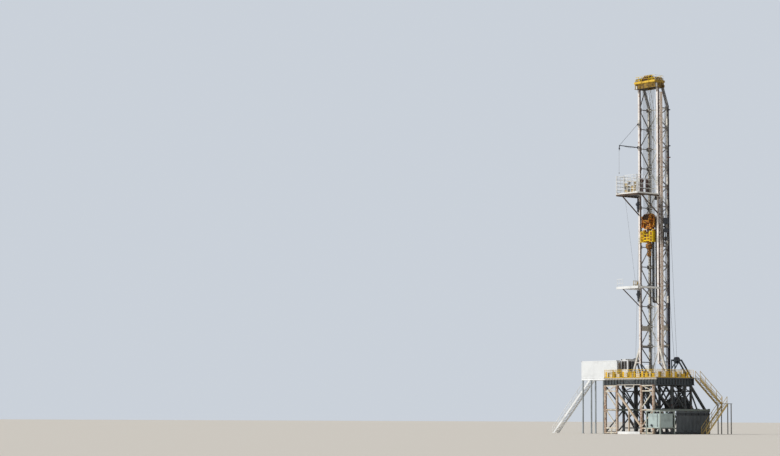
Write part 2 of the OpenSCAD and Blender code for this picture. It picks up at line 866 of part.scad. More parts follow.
// Hoist line that hangs from the jib's tip, with its hook weight
module jib_line() {
  y = pivot.y - jib_l - 3.4;
  color("dimgray") {
    rod([pivot.x, y, 2806], [pivot.x, y, jib_z - 6], 1.2);
    translate([pivot.x, y, 2790]) cylinder(r = 5, h = 16, $fn = 16);
  }
}

// A-frame of the raising gear: two cheek frames with a front post at place y0
module a_frame(side, y0) {
  color("dimgray")
    for (x = frame_x)
      intersection() {
        side_frame(side * x, 12) {
          bar([y0, 0], [y0, 245], 12);
          bar([y0, 120], [y0 + 100, 245], 9);
          bar([y0 - 6, 236], [y0 + 132, 236], 22);
          bar([y0 + 125, 242], [325, -5], 20);
        }
        block([-half_w, -200, 0], [half_w, floor_back, 300]);
      }
}

module a_frame_left() a_frame(-1, sheave_y[0] - 70);
module a_frame_right() a_frame(1, sheave_y[1] - 70);

// Sheaves of the raising gear, held between the cheek frames
module raising_sheaves() {
  color("saddlebrown")
    for (side = [0, 1])
      translate([(2 * side - 1) * (frame_x[0] + frame_x[1]) / 2, sheave_y[side], 236])
        rotate([0, 90, 0])
          rotate_extrude($fn = 48)
            polygon([[0, -24], [12, -24], [12, -20], [46, -20], [40, -13], [46, -7],
                     [40, 0], [46, 7], [40, 13], [46, 20], [12, 20], [12, 24], [0, 24]]);
}

// Raising lines from the crown down to the sheaves on the floor
module raising_lines() {
  color("dimgray")
    for (side = [0, 1])
      rod([(2 * side - 1) * (crown_x + 18), eye_y, crown_z + 8],
          [(2 * side - 1) * (frame_x[0] + frame_x[1]) / 2, sheave_y[side], 284], 1.6);
}

module doghouse_walls() {
  color("white")
    difference() {
      block([dog_x0, dog_y[0], dog_floor[1]], [dog_x1, dog_y[1], dog_h - 8]);
      block([dog_x0 + wall_t, dog_y[0] + wall_t, 0], [dog_x1 - wall_t, dog_y[1] - wall_t, dog_h]);
      block([dog_x1 - 20, dog_y[0] + 30, 0], [dog_x1 + 1, dog_y[0] + 125, 215]);
      block([dog_x0 - 1, stair_y[0] + 5, 0], [dog_x0 + 20, stair_y[1] - 5, 215]);
    }
}

module doghouse_roof()
  color("white") block([dog_x0, dog_y[0], dog_h - 8], [dog_x1, dog_y[1], dog_h]);

module doghouse_floor()
  color("white") block([dog_x0, dog_y[0], dog_floor[0]], [dog_x1, dog_y[1], dog_floor[1]]);

module doghouse_legs()
  color("white")
    for (x = [dog_x0 + 12, dog_x0 + 180, dog_x0 + 420])
      for (y = [dog_y[0] + 12, dog_y[1] - 12]) {
        block([x - 8, y - 8, ground], [x + 8, y + 8, dog_floor[0]]);
        block([x - 14, y - 14, ground], [x + 14, y + 14, ground + 6]);
      }

module doghouse_door()
  color("tan")
    block([dog_x1 - 6, dog_y[0] + 31, dog_floor[1] + 1], [dog_x1 - 2, dog_y[0] + 124, 214]);

// Driller's cabin: window openings to the front and to the well, a doorway behind
module cabin_walls() {
  t = 6;
  color("white")
    difference() {
      block([cabin_x[0], cabin_y[0], 0], [cabin_x[1], cabin_y[1], cabin_h - 10]);
      block([cabin_x[0] + t, cabin_y[0] + t, t], [cabin_x[1] - t, cabin_y[1] - t, cabin_h]);
      block([cabin_x[0] + 16, cabin_y[0] - 1, 125], [cabin_x[1] - 16, cabin_y[0] + 20, 235]);
      block([cabin_x[1] - 20, cabin_y[0] + 16, 105], [cabin_x[1] + 1, cabin_y[1] - 16, 235]);
      block([cabin_x[0] + 20, cabin_y[1] - 20, t], [cabin_x[0] + 100, cabin_y[1] + 1, 215]);
    }
}

module cabin_glass() {
  color("lightblue") {
    block([cabin_x[0] + 16, cabin_y[0] + 1, 125], [cabin_x[1] - 16, cabin_y[0] + 3, 235]);
    block([cabin_x[1] - 3, cabin_y[0] + 16, 105], [cabin_x[1] - 1, cabin_y[1] - 16, 235]);
  }
}

module cabin_roof()
  color("white")
    block([cabin_x[0], cabin_y[0] - 4, cabin_h - 10], [cabin_x[1] + 2, cabin_y[1] + 4, cabin_h]);

module winch_cabinet()
  color("white") block([-330, 240, 0], [-235, 320, 185]);

// Handrails along the front edge and the right edge of the floor
module floor_rails() {
  color("gold") {
    rail([-half_w + 6, -floor_front + 6, 0], [half_w - 20, -floor_front + 6, 0], full_rail);
    rail([half_w - 5, -floor_front + 20, 0], [half_w - 5, 262, 0], full_rail);
  }
}

module crown_rails()
  color("white")
    for (side = [-1, 1])
      rail([side * (crown_x - 7), crown_front + 8, crown_top],
           [side * (crown_x - 7), crown_back - 8, crown_top], [40, 80]);

// Side of a straight stair in its own plane, from its top point to its bottom point
module stair_side(top, bottom, dir) {
  n = round(abs(bottom.x - top.x) / 120);
  bar(top + [0, -14], bottom + [0, -14], 26);
  bar(top + [0, rail_h - 16], bottom + [0, rail_h - 16], 5);
  bar(top + [0, rail_h / 2 - 16], bottom + [0, rail_h / 2 - 16], 4);
  for (k = [0:n]) {
    p = top + (bottom - top) * k / n;
    x = p.x + (k == 0 ? 3 : k == n ? -3 : 0) * dir;
    bar([x, p.y - 14], [x, p.y + rail_h - 16], 5);
  }
}

module left_stair_sides() {
  color("white")
    for (y = stair_y)
      intersection() {
        cross_frame(y, 5)
          stair_side([dog_x0, -2], [dog_x0 - floor_h, ground - 2], -1);
        block([dog_x0 - floor_h - 40, y - 10, ground], [dog_x0, y + 10, 400]);
      }
}

module left_stair_treads() {
  rise = 20;
  color("gray")
    for (k = [1:37])
      block([dog_x0 - k * rise - 20, stair_y[0] + 2.5, -k * rise - 3],
            [dog_x0 - k * rise, stair_y[1] - 2.5, -k * rise]);
}

// Stair behind the right end of the floor: down to a landing, then back to the ground
module right_stair_sides() {
  foot_y = landing_y[0] + landing_z - ground;
  color("gold") {
    for (x = lane_a)
      intersection() {
        side_frame(x, 5) stair_side([floor_back, 0], [landing_y[0], landing_z], 1);
        block([x - 5, floor_back, landing_z - 20], [x + 5, landing_y[0], 400]);
      }
    for (x = lane_b)
      intersection() {
        side_frame(x, 5)
          stair_side([landing_y[0], landing_z], [landing_y[0] * 2 - foot_y, ground], -1);
        block([x - 5, 0, ground], [x + 5, landing_y[0], 400]);
      }
  }
}

module right_stair_treads() {
  n_a = 17;
  run_a = (landing_y[0] - floor_back) / n_a;
  rise_a = -landing_z / n_a;
  rise_b = 21;
  color("gray") {
    block([half_w, 262, deck_z], [lane_a[1] + 5, floor_back, 0]);
    for (k = [1:n_a - 1])
      block([lane_a[0] + 2.5, floor_back + (k - 1) * run_a + 2, -k * rise_a - 3],
            [lane_a[1] - 2.5, floor_back + k * run_a, -k * rise_a]);
    block([lane_a[0] - 5, landing_y[0], landing_z - 8], [lane_b[1] + 5, landing_y[1], landing_z]);
    for (x = [lane_a[0], lane_b[1] - 10])
      for (y = [landing_y[0] + 8, landing_y[1] - 18])
        block([x, y, ground], [x + 10, y + 10, landing_z - 7]);
    for (k = [1:19])
      block([lane_b[0] + 2.5, landing_y[0] - k * rise_b, landing_z - k * rise_b - 3],
            [lane_b[1] - 2.5, landing_y[0] - (k - 1) * rise_b - 2, landing_z - k * rise_b]);
  }
}

base_left_outer();
base_left_inner();
base_right_inner();
base_right_outer();
base_left_cross();
base_right_cross();
ground_spreaders();
front_brace();
rear_braces();
rear_platform();
floor_girders();
floor_cross_beams();
floor_deck();
rotary_plate();
rotary_table();
drawworks();
trip_tank_shell();
trip_tank_ends();
trip_tank_frame();
mast_left_side();
mast_right_side();
mast_back();
mast_struts();
standpipe();
crown_frame();
crown_rails();
crown_sheaves();
drill_lines();
fast_line();
travelling_block();
block_sheaves();
top_drive();
pipe_handler();
service_loop();
racking_board();
racking_fingers();
racking_walls();
belly_board();
board_rails();
jib();
jib_line();
a_frame_left();
a_frame_right();
raising_sheaves();
raising_lines();
doghouse_walls();
doghouse_roof();
doghouse_floor();
doghouse_legs();
doghouse_door();
cabin_walls();
cabin_glass();
cabin_roof();
winch_cabinet();
floor_rails();
left_stair_sides();
left_stair_treads();
right_stair_sides();
right_stair_treads();
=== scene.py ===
"""Looks of the land drilling rig: camera, finishes, ropes, hoses and small ironwork round its frame.

Shapes are worked out in millimetres of the 1:10 model, and become metres where a mesh is made.
The well's axis is X = Y = 0, the floor is at Z = 0, and the open front of the mast looks along -Y.
"""
import itertools
import math

import bpy
import numpy as np
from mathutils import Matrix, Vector


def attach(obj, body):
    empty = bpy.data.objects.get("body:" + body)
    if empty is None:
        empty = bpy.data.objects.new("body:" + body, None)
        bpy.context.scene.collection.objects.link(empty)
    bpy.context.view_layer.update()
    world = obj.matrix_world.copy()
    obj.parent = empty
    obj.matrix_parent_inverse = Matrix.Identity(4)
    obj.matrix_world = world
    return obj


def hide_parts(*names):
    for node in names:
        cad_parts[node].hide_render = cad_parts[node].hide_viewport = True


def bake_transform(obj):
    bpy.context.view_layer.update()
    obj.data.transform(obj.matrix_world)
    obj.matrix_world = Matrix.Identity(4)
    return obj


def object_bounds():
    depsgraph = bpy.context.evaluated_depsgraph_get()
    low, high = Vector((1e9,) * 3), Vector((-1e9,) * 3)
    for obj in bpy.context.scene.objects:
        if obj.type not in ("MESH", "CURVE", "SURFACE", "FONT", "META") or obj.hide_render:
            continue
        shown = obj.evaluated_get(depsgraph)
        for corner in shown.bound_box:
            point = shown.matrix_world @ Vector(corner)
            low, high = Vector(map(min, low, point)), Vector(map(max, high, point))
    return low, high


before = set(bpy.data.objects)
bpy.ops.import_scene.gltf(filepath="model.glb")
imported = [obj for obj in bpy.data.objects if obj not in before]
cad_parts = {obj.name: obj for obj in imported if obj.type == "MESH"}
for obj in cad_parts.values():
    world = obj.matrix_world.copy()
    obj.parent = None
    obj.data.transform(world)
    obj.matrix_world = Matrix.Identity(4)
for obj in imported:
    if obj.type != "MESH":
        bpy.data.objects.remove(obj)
cad_low, cad_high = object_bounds()
MM = 0.001

# The view: a long lens close to the ground, turned up and to the left

LENS = 102.05
EYE = (21.253, -21.783, -0.58)
AIM = (94.951, -0.27, 50.98)


def make_camera():
    data = bpy.data.cameras.new("camera")
    data.lens = LENS
    data.sensor_width = 36
    data.clip_end = 500
    camera = bpy.data.objects.new("camera", data)
    camera.location = EYE
    camera.rotation_euler = [math.radians(angle) for angle in AIM]
    bpy.context.scene.collection.objects.link(camera)
    bpy.context.scene.camera = camera


make_camera()


# Shapes: each is its points and a list of face arrays

CORNERS = np.array(list(itertools.product((0, 1), repeat=3)), float)
SIDES_OF_BOX = np.array([[0, 1, 3, 2], [4, 6, 7, 5], [0, 4, 5, 1], [2, 3, 7, 6], [0, 2, 6, 4], [1, 5, 7, 3]])


def spread(*values):
    """All combinations of the given coordinates, as points."""
    return np.array(list(itertools.product(*[np.atleast_1d(value) for value in values])), float)


def sums(values, steps):
    """Every value plus every step."""
    return np.add.outer(values, steps).ravel()


def blocks(low, high):
    """Boxes between corners: a point is low + (high - low) times a corner of the unit cube."""
    low, high = np.broadcast_arrays(np.atleast_2d(low).astype(float), np.atleast_2d(high).astype(float))
    points = low[:, None] + (high - low)[:, None] * CORNERS
    faces = SIDES_OF_BOX + 8 * np.arange(len(low))[:, None, None]
    return points.reshape(-1, 3), [faces.reshape(-1, 4)]


def slabs(*rows, at=(0, 0, 0)):
    """Boxes, each a row of its low and its high corner, counted from one place."""
    rows = np.array(rows, float)
    return blocks(rows[:, :3] + at, rows[:, 3:] + at)


def boxes(size, *places):
    """Boxes of one size, with their low corners at all combinations of the given coordinates."""
    low = spread(*places)
    return blocks(low, low + size)


def ring_faces(rings, sides, closed=False):
    """Quads between rings of points laid one after another; sides run anticlockwise round the path."""
    last = rings if closed else rings - 1
    ring, side = np.meshgrid(np.arange(last), np.arange(sides), indexing="ij")
    after, beside = (ring + 1) % rings, (side + 1) % sides
    quads = [ring * sides + side, ring * sides + beside, after * sides + beside, after * sides + side]
    return np.stack(quads, -1).reshape(-1, 4)


def across(direction):
    """Two unit vectors square to each direction: first level where it can be, then the one over it."""
    upright = np.abs(direction[:, 2:3]) > 0.98
    aside = np.cross(np.where(upright, [[0.0, 1, 0]], [[0.0, 0, 1]]), direction)
    aside /= np.linalg.norm(aside, axis=1, keepdims=True)
    return aside, np.cross(direction, aside)


def bars(starts, ends, width, height=None, sides=6):
    """Straight bars: round of that width where no height is given, else boxes of width by height.

    A corner is the end point + cos(angle) * half width * aside + sin(angle) * half height * over.
    """
    starts, ends = np.broadcast_arrays(np.atleast_2d(starts).astype(float), np.atleast_2d(ends).astype(float))
    along = (ends - starts) / np.linalg.norm(ends - starts, axis=1, keepdims=True)
    aside, over = across(along)
    if height is None:
        angle = np.arange(sides) * 2 * math.pi / sides
        ring = np.stack([np.cos(angle), np.sin(angle)], -1) * width / 2
    else:
        sides = 4
        ring = np.array([[1, 1], [-1, 1], [-1, -1], [1, -1]]) * [width / 2, height / 2]
    offset = ring[None, :, :1] * aside[:, None] + ring[None, :, 1:] * over[:, None]
    points = np.concatenate([starts[:, None] + offset, ends[:, None] + offset], 1)
    base = 2 * sides * np.arange(len(starts))[:, None]
    quads = (ring_faces(2, sides)[None] + base[:, :, None]).reshape(-1, 4)
    caps = [np.arange(sides)[::-1] + base, np.arange(sides) + sides + base]
    return points.reshape(-1, 3), [quads, np.concatenate(caps)]


def rods(x, y, z, *section, **more):
    """Bars that run along each coordinate given as a (start, end) tuple, at all combinations of the others."""
    starts, ends = [spread(*[value[end] if isinstance(value, tuple) else value for value in (x, y, z)])
                    for end in (0, 1)]
    return bars(starts, ends, *section, **more)


def bolts(centres, axis, width=4.4, height=2.4):
    """Six-sided bolt heads that stand on their centres and point along the axis."""
    centres = np.atleast_2d(centres).astype(float)
    return bars(centres, centres + np.asarray(axis, float) * height, width)


def arc(centre, radius, axis, angles):
    """Points at angles round an axis: the centre + radius * (cos, sin) in the plane square to it."""
    cosine, sine, level = np.cos(angles), np.sin(angles), 0 * angles
    circle = {"x": (level, cosine, sine), "z": (cosine, sine, level)}
    return np.stack(circle[axis], -1) * radius + np.asarray(centre, float)


def ring_of(count, radius, centre, axis):
    """Points spaced evenly on a whole circle."""
    return arc(centre, radius, axis, np.arange(count) * 2 * math.pi / count)


def tube(path, width, sides=8):
    """Round tube along a path: each ring is the path's point + half width * (cos * aside + sin * over)."""
    path = np.asarray(path, float)
    along = np.gradient(path, axis=0)
    along /= np.linalg.norm(along, axis=1, keepdims=True)
    flat = np.argmin(np.ptp(path, axis=0))
    aside = np.broadcast_to(np.eye(3)[flat], along.shape)
    over = np.cross(along, aside)
    over /= np.linalg.norm(over, axis=1, keepdims=True)
    angle = np.arange(sides) * 2 * math.pi / sides
    offset = np.cos(angle)[None, :, None] * aside[:, None] + np.sin(angle)[None, :, None] * over[:, None]
    points = (path[:, None] + offset * width / 2).reshape(-1, 3)
    last = (len(path) - 1) * sides
    caps = np.stack([np.arange(sides)[::-1], np.arange(sides) + last])
    return points, [ring_faces(len(path), sides), caps]


def turned(profile, sides):
    """Closed profile of (radius, height) points turned round Z: x = radius * cos, y = radius * sin."""
    radius, height = np.array(profile, float).T[:, None]
    angle = np.arange(sides)[:, None] * 2 * math.pi / sides
    points = np.stack([np.cos(angle) * radius, np.sin(angle) * radius, height + 0 * angle], -1)
    return points.reshape(-1, 3), [ring_faces(sides, len(profile), closed=True)[:, ::-1]]


def bent_plate(centre, inner, outer, x0, x1, start, stop, steps=9):
    """Plate bent round an X axis: a corner is the centre + radius * (cos along Y, sin along Z)."""
    angle = np.radians(np.linspace(start, stop, steps))[:, None]
    x = np.array([[x0, x1, x1, x0]]) + 0 * angle
    radius = np.array([[inner, inner, outer, outer]])
    points = np.stack([x, radius * np.cos(angle), radius * np.sin(angle)], -1) + np.asarray(centre, float)
    last = (steps - 1) * 4
    caps = np.array([[0, 1, 2, 3], [last + 3, last + 2, last + 1, last]])
    return points.reshape(-1, 3), [ring_faces(steps, 4)[:, ::-1], caps]


def both_sides(shape):
    """A shape and its mirror image on the left, with the image's faces turned to point outwards."""
    points, faces = shape
    image = [array[:, ::-1] + len(points) for array in faces]
    return np.concatenate([points, points * [-1, 1, 1]]), faces + image


def mirrored(*shapes):
    """Every shape on both sides."""
    return [both_sides(shape) for shape in shapes]


def put(name, shapes, finish, body="root", slot=None, smooth=False, stand_for=()):
    """One piece from a list of shapes, with its finish, on the CAD body that it moves with."""
    points = np.concatenate([points for points, _ in shapes]) * MM
    starts = np.cumsum([0] + [len(points) for points, _ in shapes])
    faces = [array + start for (_, arrays), start in zip(shapes, starts) for array in arrays]
    mesh = bpy.data.meshes.new(name)
    mesh.vertices.add(len(points))
    mesh.vertices.foreach_set("co", points.ravel().astype(np.float32))
    corners = np.concatenate([array.ravel() for array in faces])
    sizes = np.concatenate([np.full(len(array), array.shape[1]) for array in faces])
    mesh.loops.add(len(corners))
    mesh.loops.foreach_set("vertex_index", corners.astype(np.int32))
    mesh.polygons.add(len(sizes))
    mesh.polygons.foreach_set("loop_start", (np.cumsum(sizes) - sizes).astype(np.int32))
    mesh.polygons.foreach_set("use_smooth", np.full(len(sizes), smooth))
    mesh.update(calc_edges=True)
    mesh.validate()
    mesh.materials.append(finish)
    piece = bpy.data.objects.new(name, mesh)
    bpy.context.scene.collection.objects.link(piece)
    if body:
        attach(piece, body)
    slot = slot or SLOT_OF.get(finish)
    if stand_for:
        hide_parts(*stand_for)
    return piece


# Shader arithmetic


class Number:
    """A number inside a material, with the arithmetic of plain numbers."""

    def __init__(self, finish, socket):
        self.finish = finish
        self.socket = socket

    def math(self, operation, first, second=0.0):
        made = self.finish.node("ShaderNodeMath", {"operation": operation}, {0: first, 1: second})
        return Number(self.finish, made.outputs[0])

    def __add__(self, other):
        return self.math("ADD", self, other)

    def __sub__(self, other):
        return self.math("SUBTRACT", self, other)

    def __rsub__(self, other):
        return self.math("SUBTRACT", other, self)

    def __mul__(self, other):
        return self.math("MULTIPLY", self, other)

    __radd__ = __add__
    __rmul__ = __mul__

    def sine(self):
        return self.math("SINE", self)

    def step(self, low, high):
        """0 below low, 1 above high, and a soft S between them."""
        made = self.finish.node("ShaderNodeMapRange", {"interpolation_type": "SMOOTHSTEP"},
                                {"Value": self, "From Min": low, "From Max": high})
        return Number(self.finish, made.outputs["Result"])

    def between(self, low, high, blur=0.0006):
        """1 where the number lies between low and high, 0 elsewhere, with a narrow soft edge."""
        return self.step(low - blur, low + blur) * (1 - self.step(high - blur, high + blur))


class Tree:
    """The nodes of a material or of the world."""

    def __init__(self, owner):
        owner.use_nodes = True
        self.tree = owner.node_tree
        self.tree.nodes.clear()

    def node(self, kind, settings=None, sockets=None):
        """A node of that type, its settings set first, then its sockets' values or links."""
        made = self.tree.nodes.new(kind)
        for key, value in (settings or {}).items():
            setattr(made, key, value)
        for key, value in (sockets or {}).items():
            self.feed(made.inputs[key], value)
        return made

    def feed(self, socket, value):
        if isinstance(value, Number):
            value = value.socket
        if isinstance(value, bpy.types.NodeSocket):
            self.tree.links.new(value, socket)
        elif isinstance(value, tuple) and len(value) == 3 and socket.type == "RGBA":
            socket.default_value = (*value, 1)
        else:
            socket.default_value = value


class Finish(Tree):
    """A material: one Principled shader and the nodes that feed it."""

    def __init__(self, name, **constants):
        self.material = bpy.data.materials.new(name)
        super().__init__(self.material)
        self.shader = self.node("ShaderNodeBsdfPrincipled", sockets=constants)
        self.node("ShaderNodeOutputMaterial", sockets={"Surface": self.shader.outputs[0]})
        self.place = self.node("ShaderNodeTexCoord").outputs["Object"]
        parts = self.node("ShaderNodeSeparateXYZ", sockets={0: self.place})
        self.x, self.y, self.z = [Number(self, socket) for socket in parts.outputs]

    def noise(self, scale, detail, stretch=None):
        """Cloudy pattern between 0 and 1, about 0.5 in the middle, with scale lumps to the metre."""
        place = self.place
        if stretch:
            place = self.node("ShaderNodeMapping", sockets={"Vector": place, "Scale": stretch}).outputs[0]
        made = self.node("ShaderNodeTexNoise", sockets={"Vector": place, "Scale": scale, "Detail": detail})
        return Number(self, made.outputs["Fac"])

    def patches(self, scale):
        return self.noise(scale, 6)

    def runs(self, level=150, down=7):
        """Streaks that run down: that many lumps to the metre in each level direction, and few in height."""
        return self.noise(1, 4, (level, level, down))

    def grit(self):
        return self.noise(420, 3)

    def mix(self, first, second, share):
        made = self.node("ShaderNodeMix", {"data_type": "RGBA"}, {0: share, 6: first, 7: second})
        return made.outputs[2]

    def bump(self, height, depth=0.0006):
        made = self.node("ShaderNodeBump", sockets={"Height": height, "Distance": depth, "Strength": 0.6})
        self.feed(self.shader.inputs["Normal"], made.outputs[0])

    def done(self, colour, roughness, metallic=0.0):
        for name, value in (("Base Color", colour), ("Roughness", roughness), ("Metallic", metallic)):
            self.feed(self.shader.inputs[name], value)
        return self.material


def tone(red, green, blue):
    """Colour of a paint card, 0 to 255 a channel, as the light that it sends back."""
    return tuple((part / 255) ** 2.2 for part in (red, green, blue))


def darker(colour, share):
    return tuple(share * part for part in colour)


RUST = tone(116, 62, 38)
PALE_RUST = tone(164, 116, 92)
GRIME = tone(60, 56, 50)


def painted(name, colour, rust=0.3, grime=0.35, rust_tone=RUST, fade=0.72):
    """Weathered paint: uneven fading, streaks that run down, and rust in patches."""
    finish = Finish(name)
    runs, patches, grit = finish.runs(), finish.patches(42), finish.grit()
    faded = finish.mix(colour, darker(colour, fade), finish.noise(9, 4).step(0.42, 0.75))
    streaked = finish.mix(faded, GRIME, runs.step(0.52, 0.78) * grime)
    edge = 0.70 - 0.18 * rust
    rusty = (patches * 0.75 + runs * 0.25).step(edge, edge + 0.07)
    rust_shade = finish.mix(rust_tone, darker(rust_tone, 0.45), grit.step(0.4, 0.62))
    finish.bump(grit * 0.5 + rusty)
    return finish.done(finish.mix(streaked, rust_shade, rusty), rusty * 0.4 + (grit * 0.12 + 0.42))


def steel(name, colour, rust=0.3):
    """Bare steel: brushed greys under brown stains."""
    finish = Finish(name)
    fine = finish.noise(500, 2)
    brown = finish.patches(60).step(0.62 - 0.2 * rust, 0.72)
    finish.bump(fine, 0.0003)
    colours = finish.mix(finish.mix(colour, darker(colour, 0.6), fine), RUST, brown * 0.8)
    return finish.done(colours, brown * 0.3 + 0.42, 0.85 - brown * 0.75)


def rope(name, colour, pitch):
    """Wire rope: strands laid at a slant, lighter on their crowns and darker between them."""
    finish = Finish(name)
    twist = finish.z * (1 / pitch) + (finish.x + finish.y) * 260
    crown = (twist * (2 * math.pi)).sine() * 0.5 + 0.5
    finish.bump(crown, 0.0005)
    return finish.done(finish.mix(darker(colour, 0.35), colour, crown), 0.55, 0.6)


def plated(name, colour):
    """Chequered floor plate: raised bars at two slants, worn bright on top and dusty between."""
    finish = Finish(name)
    slants = (finish.x + finish.y) * 160, (finish.x - finish.y) * 160
    raised = (slants[0].sine() * slants[1].sine()).step(0.25, 0.6)
    finish.bump(raised, 0.0008)
    base = finish.mix(colour, RUST, finish.patches(14).step(0.48, 0.7) * 0.6)
    return finish.done(finish.mix(base, tone(150, 146, 138), raised * 0.35), 0.7 - raised * 0.2, raised * 0.3)


WHITE = painted("white_paint", tone(238, 240, 240), rust=0.05, grime=0.16)
OFF_WHITE = painted("strut_paint", tone(226, 222, 212), rust=0.5, grime=0.4, rust_tone=PALE_RUST)
# mid grey, darker than the white mast paint partly as painted shade
LATTICE = painted("lattice_paint", tone(150, 146, 140), rust=0.6, grime=0.45, rust_tone=PALE_RUST)
DARK = painted("dark_paint", tone(52, 56, 62), rust=0.35, grime=0.3)
NAVY = painted("navy_paint", tone(56, 64, 70), rust=0.25, grime=0.3)
BEIGE = painted("beige_paint", tone(196, 178, 156), rust=0.45, grime=0.35, rust_tone=PALE_RUST)
BROWN = painted("brown_primer", tone(112, 70, 60), rust=0.4, grime=0.6, rust_tone=tone(52, 44, 42))
YELLOW = painted("yellow_paint", tone(250, 212, 34), rust=0.1, grime=0.2, fade=0.8)
RAIL = painted("rail_paint", tone(236, 192, 52), rust=0.55, grime=0.55)
HOUSE = painted("house_paint", tone(240, 243, 244), rust=0.02, grime=0.1, fade=0.9)
STAIR = painted("stair_paint", tone(208, 180, 112), rust=0.4, grime=0.35, rust_tone=PALE_RUST)
CROWN_GEAR = painted("crown_gear_paint", tone(150, 122, 44), rust=0.6, grime=0.6)
PLATING = painted("plating_paint", tone(94, 100, 104), rust=0.3, grime=0.5)
HANDLER = painted("handler_paint", tone(158, 108, 40), rust=1.1, grime=0.9, rust_tone=tone(58, 38, 26))
GREEN = painted("tank_paint", tone(178, 194, 192), rust=0.1, grime=0.3)
TANK_FRAME = painted("tank_frame_paint", tone(168, 178, 170), rust=0.2, grime=0.3)
DECK = plated("chequered_plate", tone(104, 100, 94))
GREY = painted("walkway_paint", tone(132, 130, 124), rust=0.4, grime=0.4)
POST = painted("house_post_paint", tone(158, 166, 170), rust=0.35, grime=0.5)
BACK = painted("mast_back_paint", tone(214, 216, 212), rust=0.4, grime=0.5, rust_tone=tone(120, 112, 104))
STEEL = steel("bare_steel", tone(128, 122, 114))
TACKLE = steel("raising_sheave_steel", tone(70, 74, 82), rust=0.35)
SHEAVE = steel("sheave_steel", tone(112, 84, 62), rust=0.8)
LAY = rope("rope_steel", tone(112, 110, 106), 0.011)


def rubber():
    finish = Finish("hose_rubber")
    grain = finish.noise(300, 3)
    finish.bump(grain, 0.0003)
    return finish.done(finish.mix(tone(30, 30, 31), tone(58, 56, 54), grain.step(0.4, 0.8)), 0.62)


def window_glass():
    finish = Finish("window_glass", IOR=1.5)
    dust = finish.noise(30, 4)
    return finish.done(finish.mix(tone(56, 54, 52), tone(104, 96, 86), dust.step(0.45, 0.8)), dust * 0.2 + 0.04)


def mast_paint():
    """Paint of the mast: white flanges, rusty webs with painted shade, greyer braces partly as painted shade, grey
    back legs as painted shade.
    """
    finish = Finish("mast_paint")
    runs, patches, grit = finish.runs(170, 8), finish.patches(36), finish.grit()
    web = finish.y.between(-0.0112, 0.0112) + finish.y.between(0.1788, 0.2012)
    braces = finish.y.between(0.016, 0.174)
    # back legs grey instead of white: painted shade
    back = finish.y.step(0.100, 0.170)
    lower_painted_shade = 1 - finish.z.step(0.7, 2.4)
    white = finish.mix(tone(240, 234, 230), tone(210, 200, 192), patches.step(0.45, 0.7))
    # the right-hand back leg darker still, more so low down: painted shade
    right = finish.x.step(-0.02, 0.02)
    back_leg_painted_shade = finish.mix(tone(190, 186, 174), tone(84, 80, 78), patches.step(0.46, 0.58))
    rear = finish.mix(back_leg_painted_shade, tone(46, 44, 54), right * (lower_painted_shade * 0.7 + 0.3))
    legs = finish.mix(white, rear, back)
    # braces greyer and darker than the legs, partly as painted shade
    brace = finish.mix(tone(150, 150, 148), tone(84, 84, 90), patches.step(0.4, 0.6))
    plates = finish.z.between(0.640, 0.735, 0.004) + finish.z.between(0.436, 0.462, 0.002)
    brace = finish.mix(brace, tone(196, 190, 176), plates * 0.9)
    colours = finish.mix(legs, brace, braces)
    # webs rust brown, darkened as painted shade in the legs' recess
    web_rust_and_painted_shade = finish.mix(tone(112, 74, 64), tone(62, 44, 44), patches.step(0.4, 0.65))
    brown = finish.mix(web_rust_and_painted_shade, finish.mix(back_leg_painted_shade, tone(36, 34, 44), right), back)
    colours = finish.mix(colours, brown, web)
    colours = finish.mix(colours, GRIME, runs.step(0.52, 0.76) * 0.35)
    rusty = (patches * 0.7 + runs * 0.3).step(0.59, 0.66)
    finish.bump(grit * 0.5 + rusty)
    return finish.done(finish.mix(colours, PALE_RUST, rusty * 0.8), rusty * 0.35 + (grit * 0.1 + 0.45))


def standpipe_paint():
    """Paint of the standpipe: pinkish beige, and darker grey on the length below the racking board."""
    finish = Finish("standpipe_paint")
    patches, grit = finish.patches(40), finish.grit()
    pale = finish.mix(tone(252, 240, 228), tone(232, 206, 186), patches.step(0.44, 0.66))
    dirty = finish.mix(tone(150, 144, 136), tone(92, 82, 80), patches.step(0.4, 0.62))
    colours = finish.mix(pale, dirty, finish.z.between(1.85, 2.44, 0.08) * 0.9)
    colours = finish.mix(colours, GRIME, finish.runs(150, 9).step(0.54, 0.78) * 0.35)
    finish.bump(grit * 0.5 + patches)
    return finish.done(colours, grit * 0.12 + 0.45)


def drive_paint():
    """Paint of the top drive: yellow, with the middle between its housings dark brown above its foot."""
    finish = Finish("drive_paint")
    patches, grit = finish.patches(46), finish.grit()
    yellow = finish.mix(tone(250, 212, 34), tone(226, 176, 26), patches.step(0.5, 0.7))
    grease_and_painted_shade = finish.mix(tone(132, 84, 46), tone(44, 34, 30), patches.step(0.4, 0.56))
    middle = finish.x.between(-0.0565, 0.0565) * finish.z.step(1.926, 1.940)
    finish.bump(grit * 0.5 + patches, 0.0005)
    return finish.done(finish.mix(yellow, grease_and_painted_shade, middle), grit * 0.12 + 0.42)


def crown_paint():
    """Paint of the crown: bright yellow, with painted shade in dark olive on its girders' webs below the walkway
    and on its right end.
    """
    finish = Finish("crown_paint")
    patches, grit = finish.patches(34), finish.grit()
    # painted shade below the walkway's edge, in dark olive
    lower_painted_shade = 1 - finish.z.step(4.050, 4.056)
    yellow = finish.mix(tone(232, 190, 62), tone(176, 136, 40), patches.step(0.42, 0.68))
    grease_and_painted_shade = finish.mix(tone(134, 104, 38), tone(62, 44, 24), patches.step(0.38, 0.6))
    # painted shade on the right end as well
    right_end_painted_shade = finish.x.step(0.1925, 0.1945) * 0.6
    colours = finish.mix(finish.mix(yellow, grease_and_painted_shade, right_end_painted_shade), grease_and_painted_shade, lower_painted_shade * 0.85)
    colours = finish.mix(colours, GRIME, finish.runs(120, 9).step(0.5, 0.74) * 0.4)
    finish.bump(grit * 0.5 + patches)
    return finish.done(colours, grit * 0.12 + 0.45)


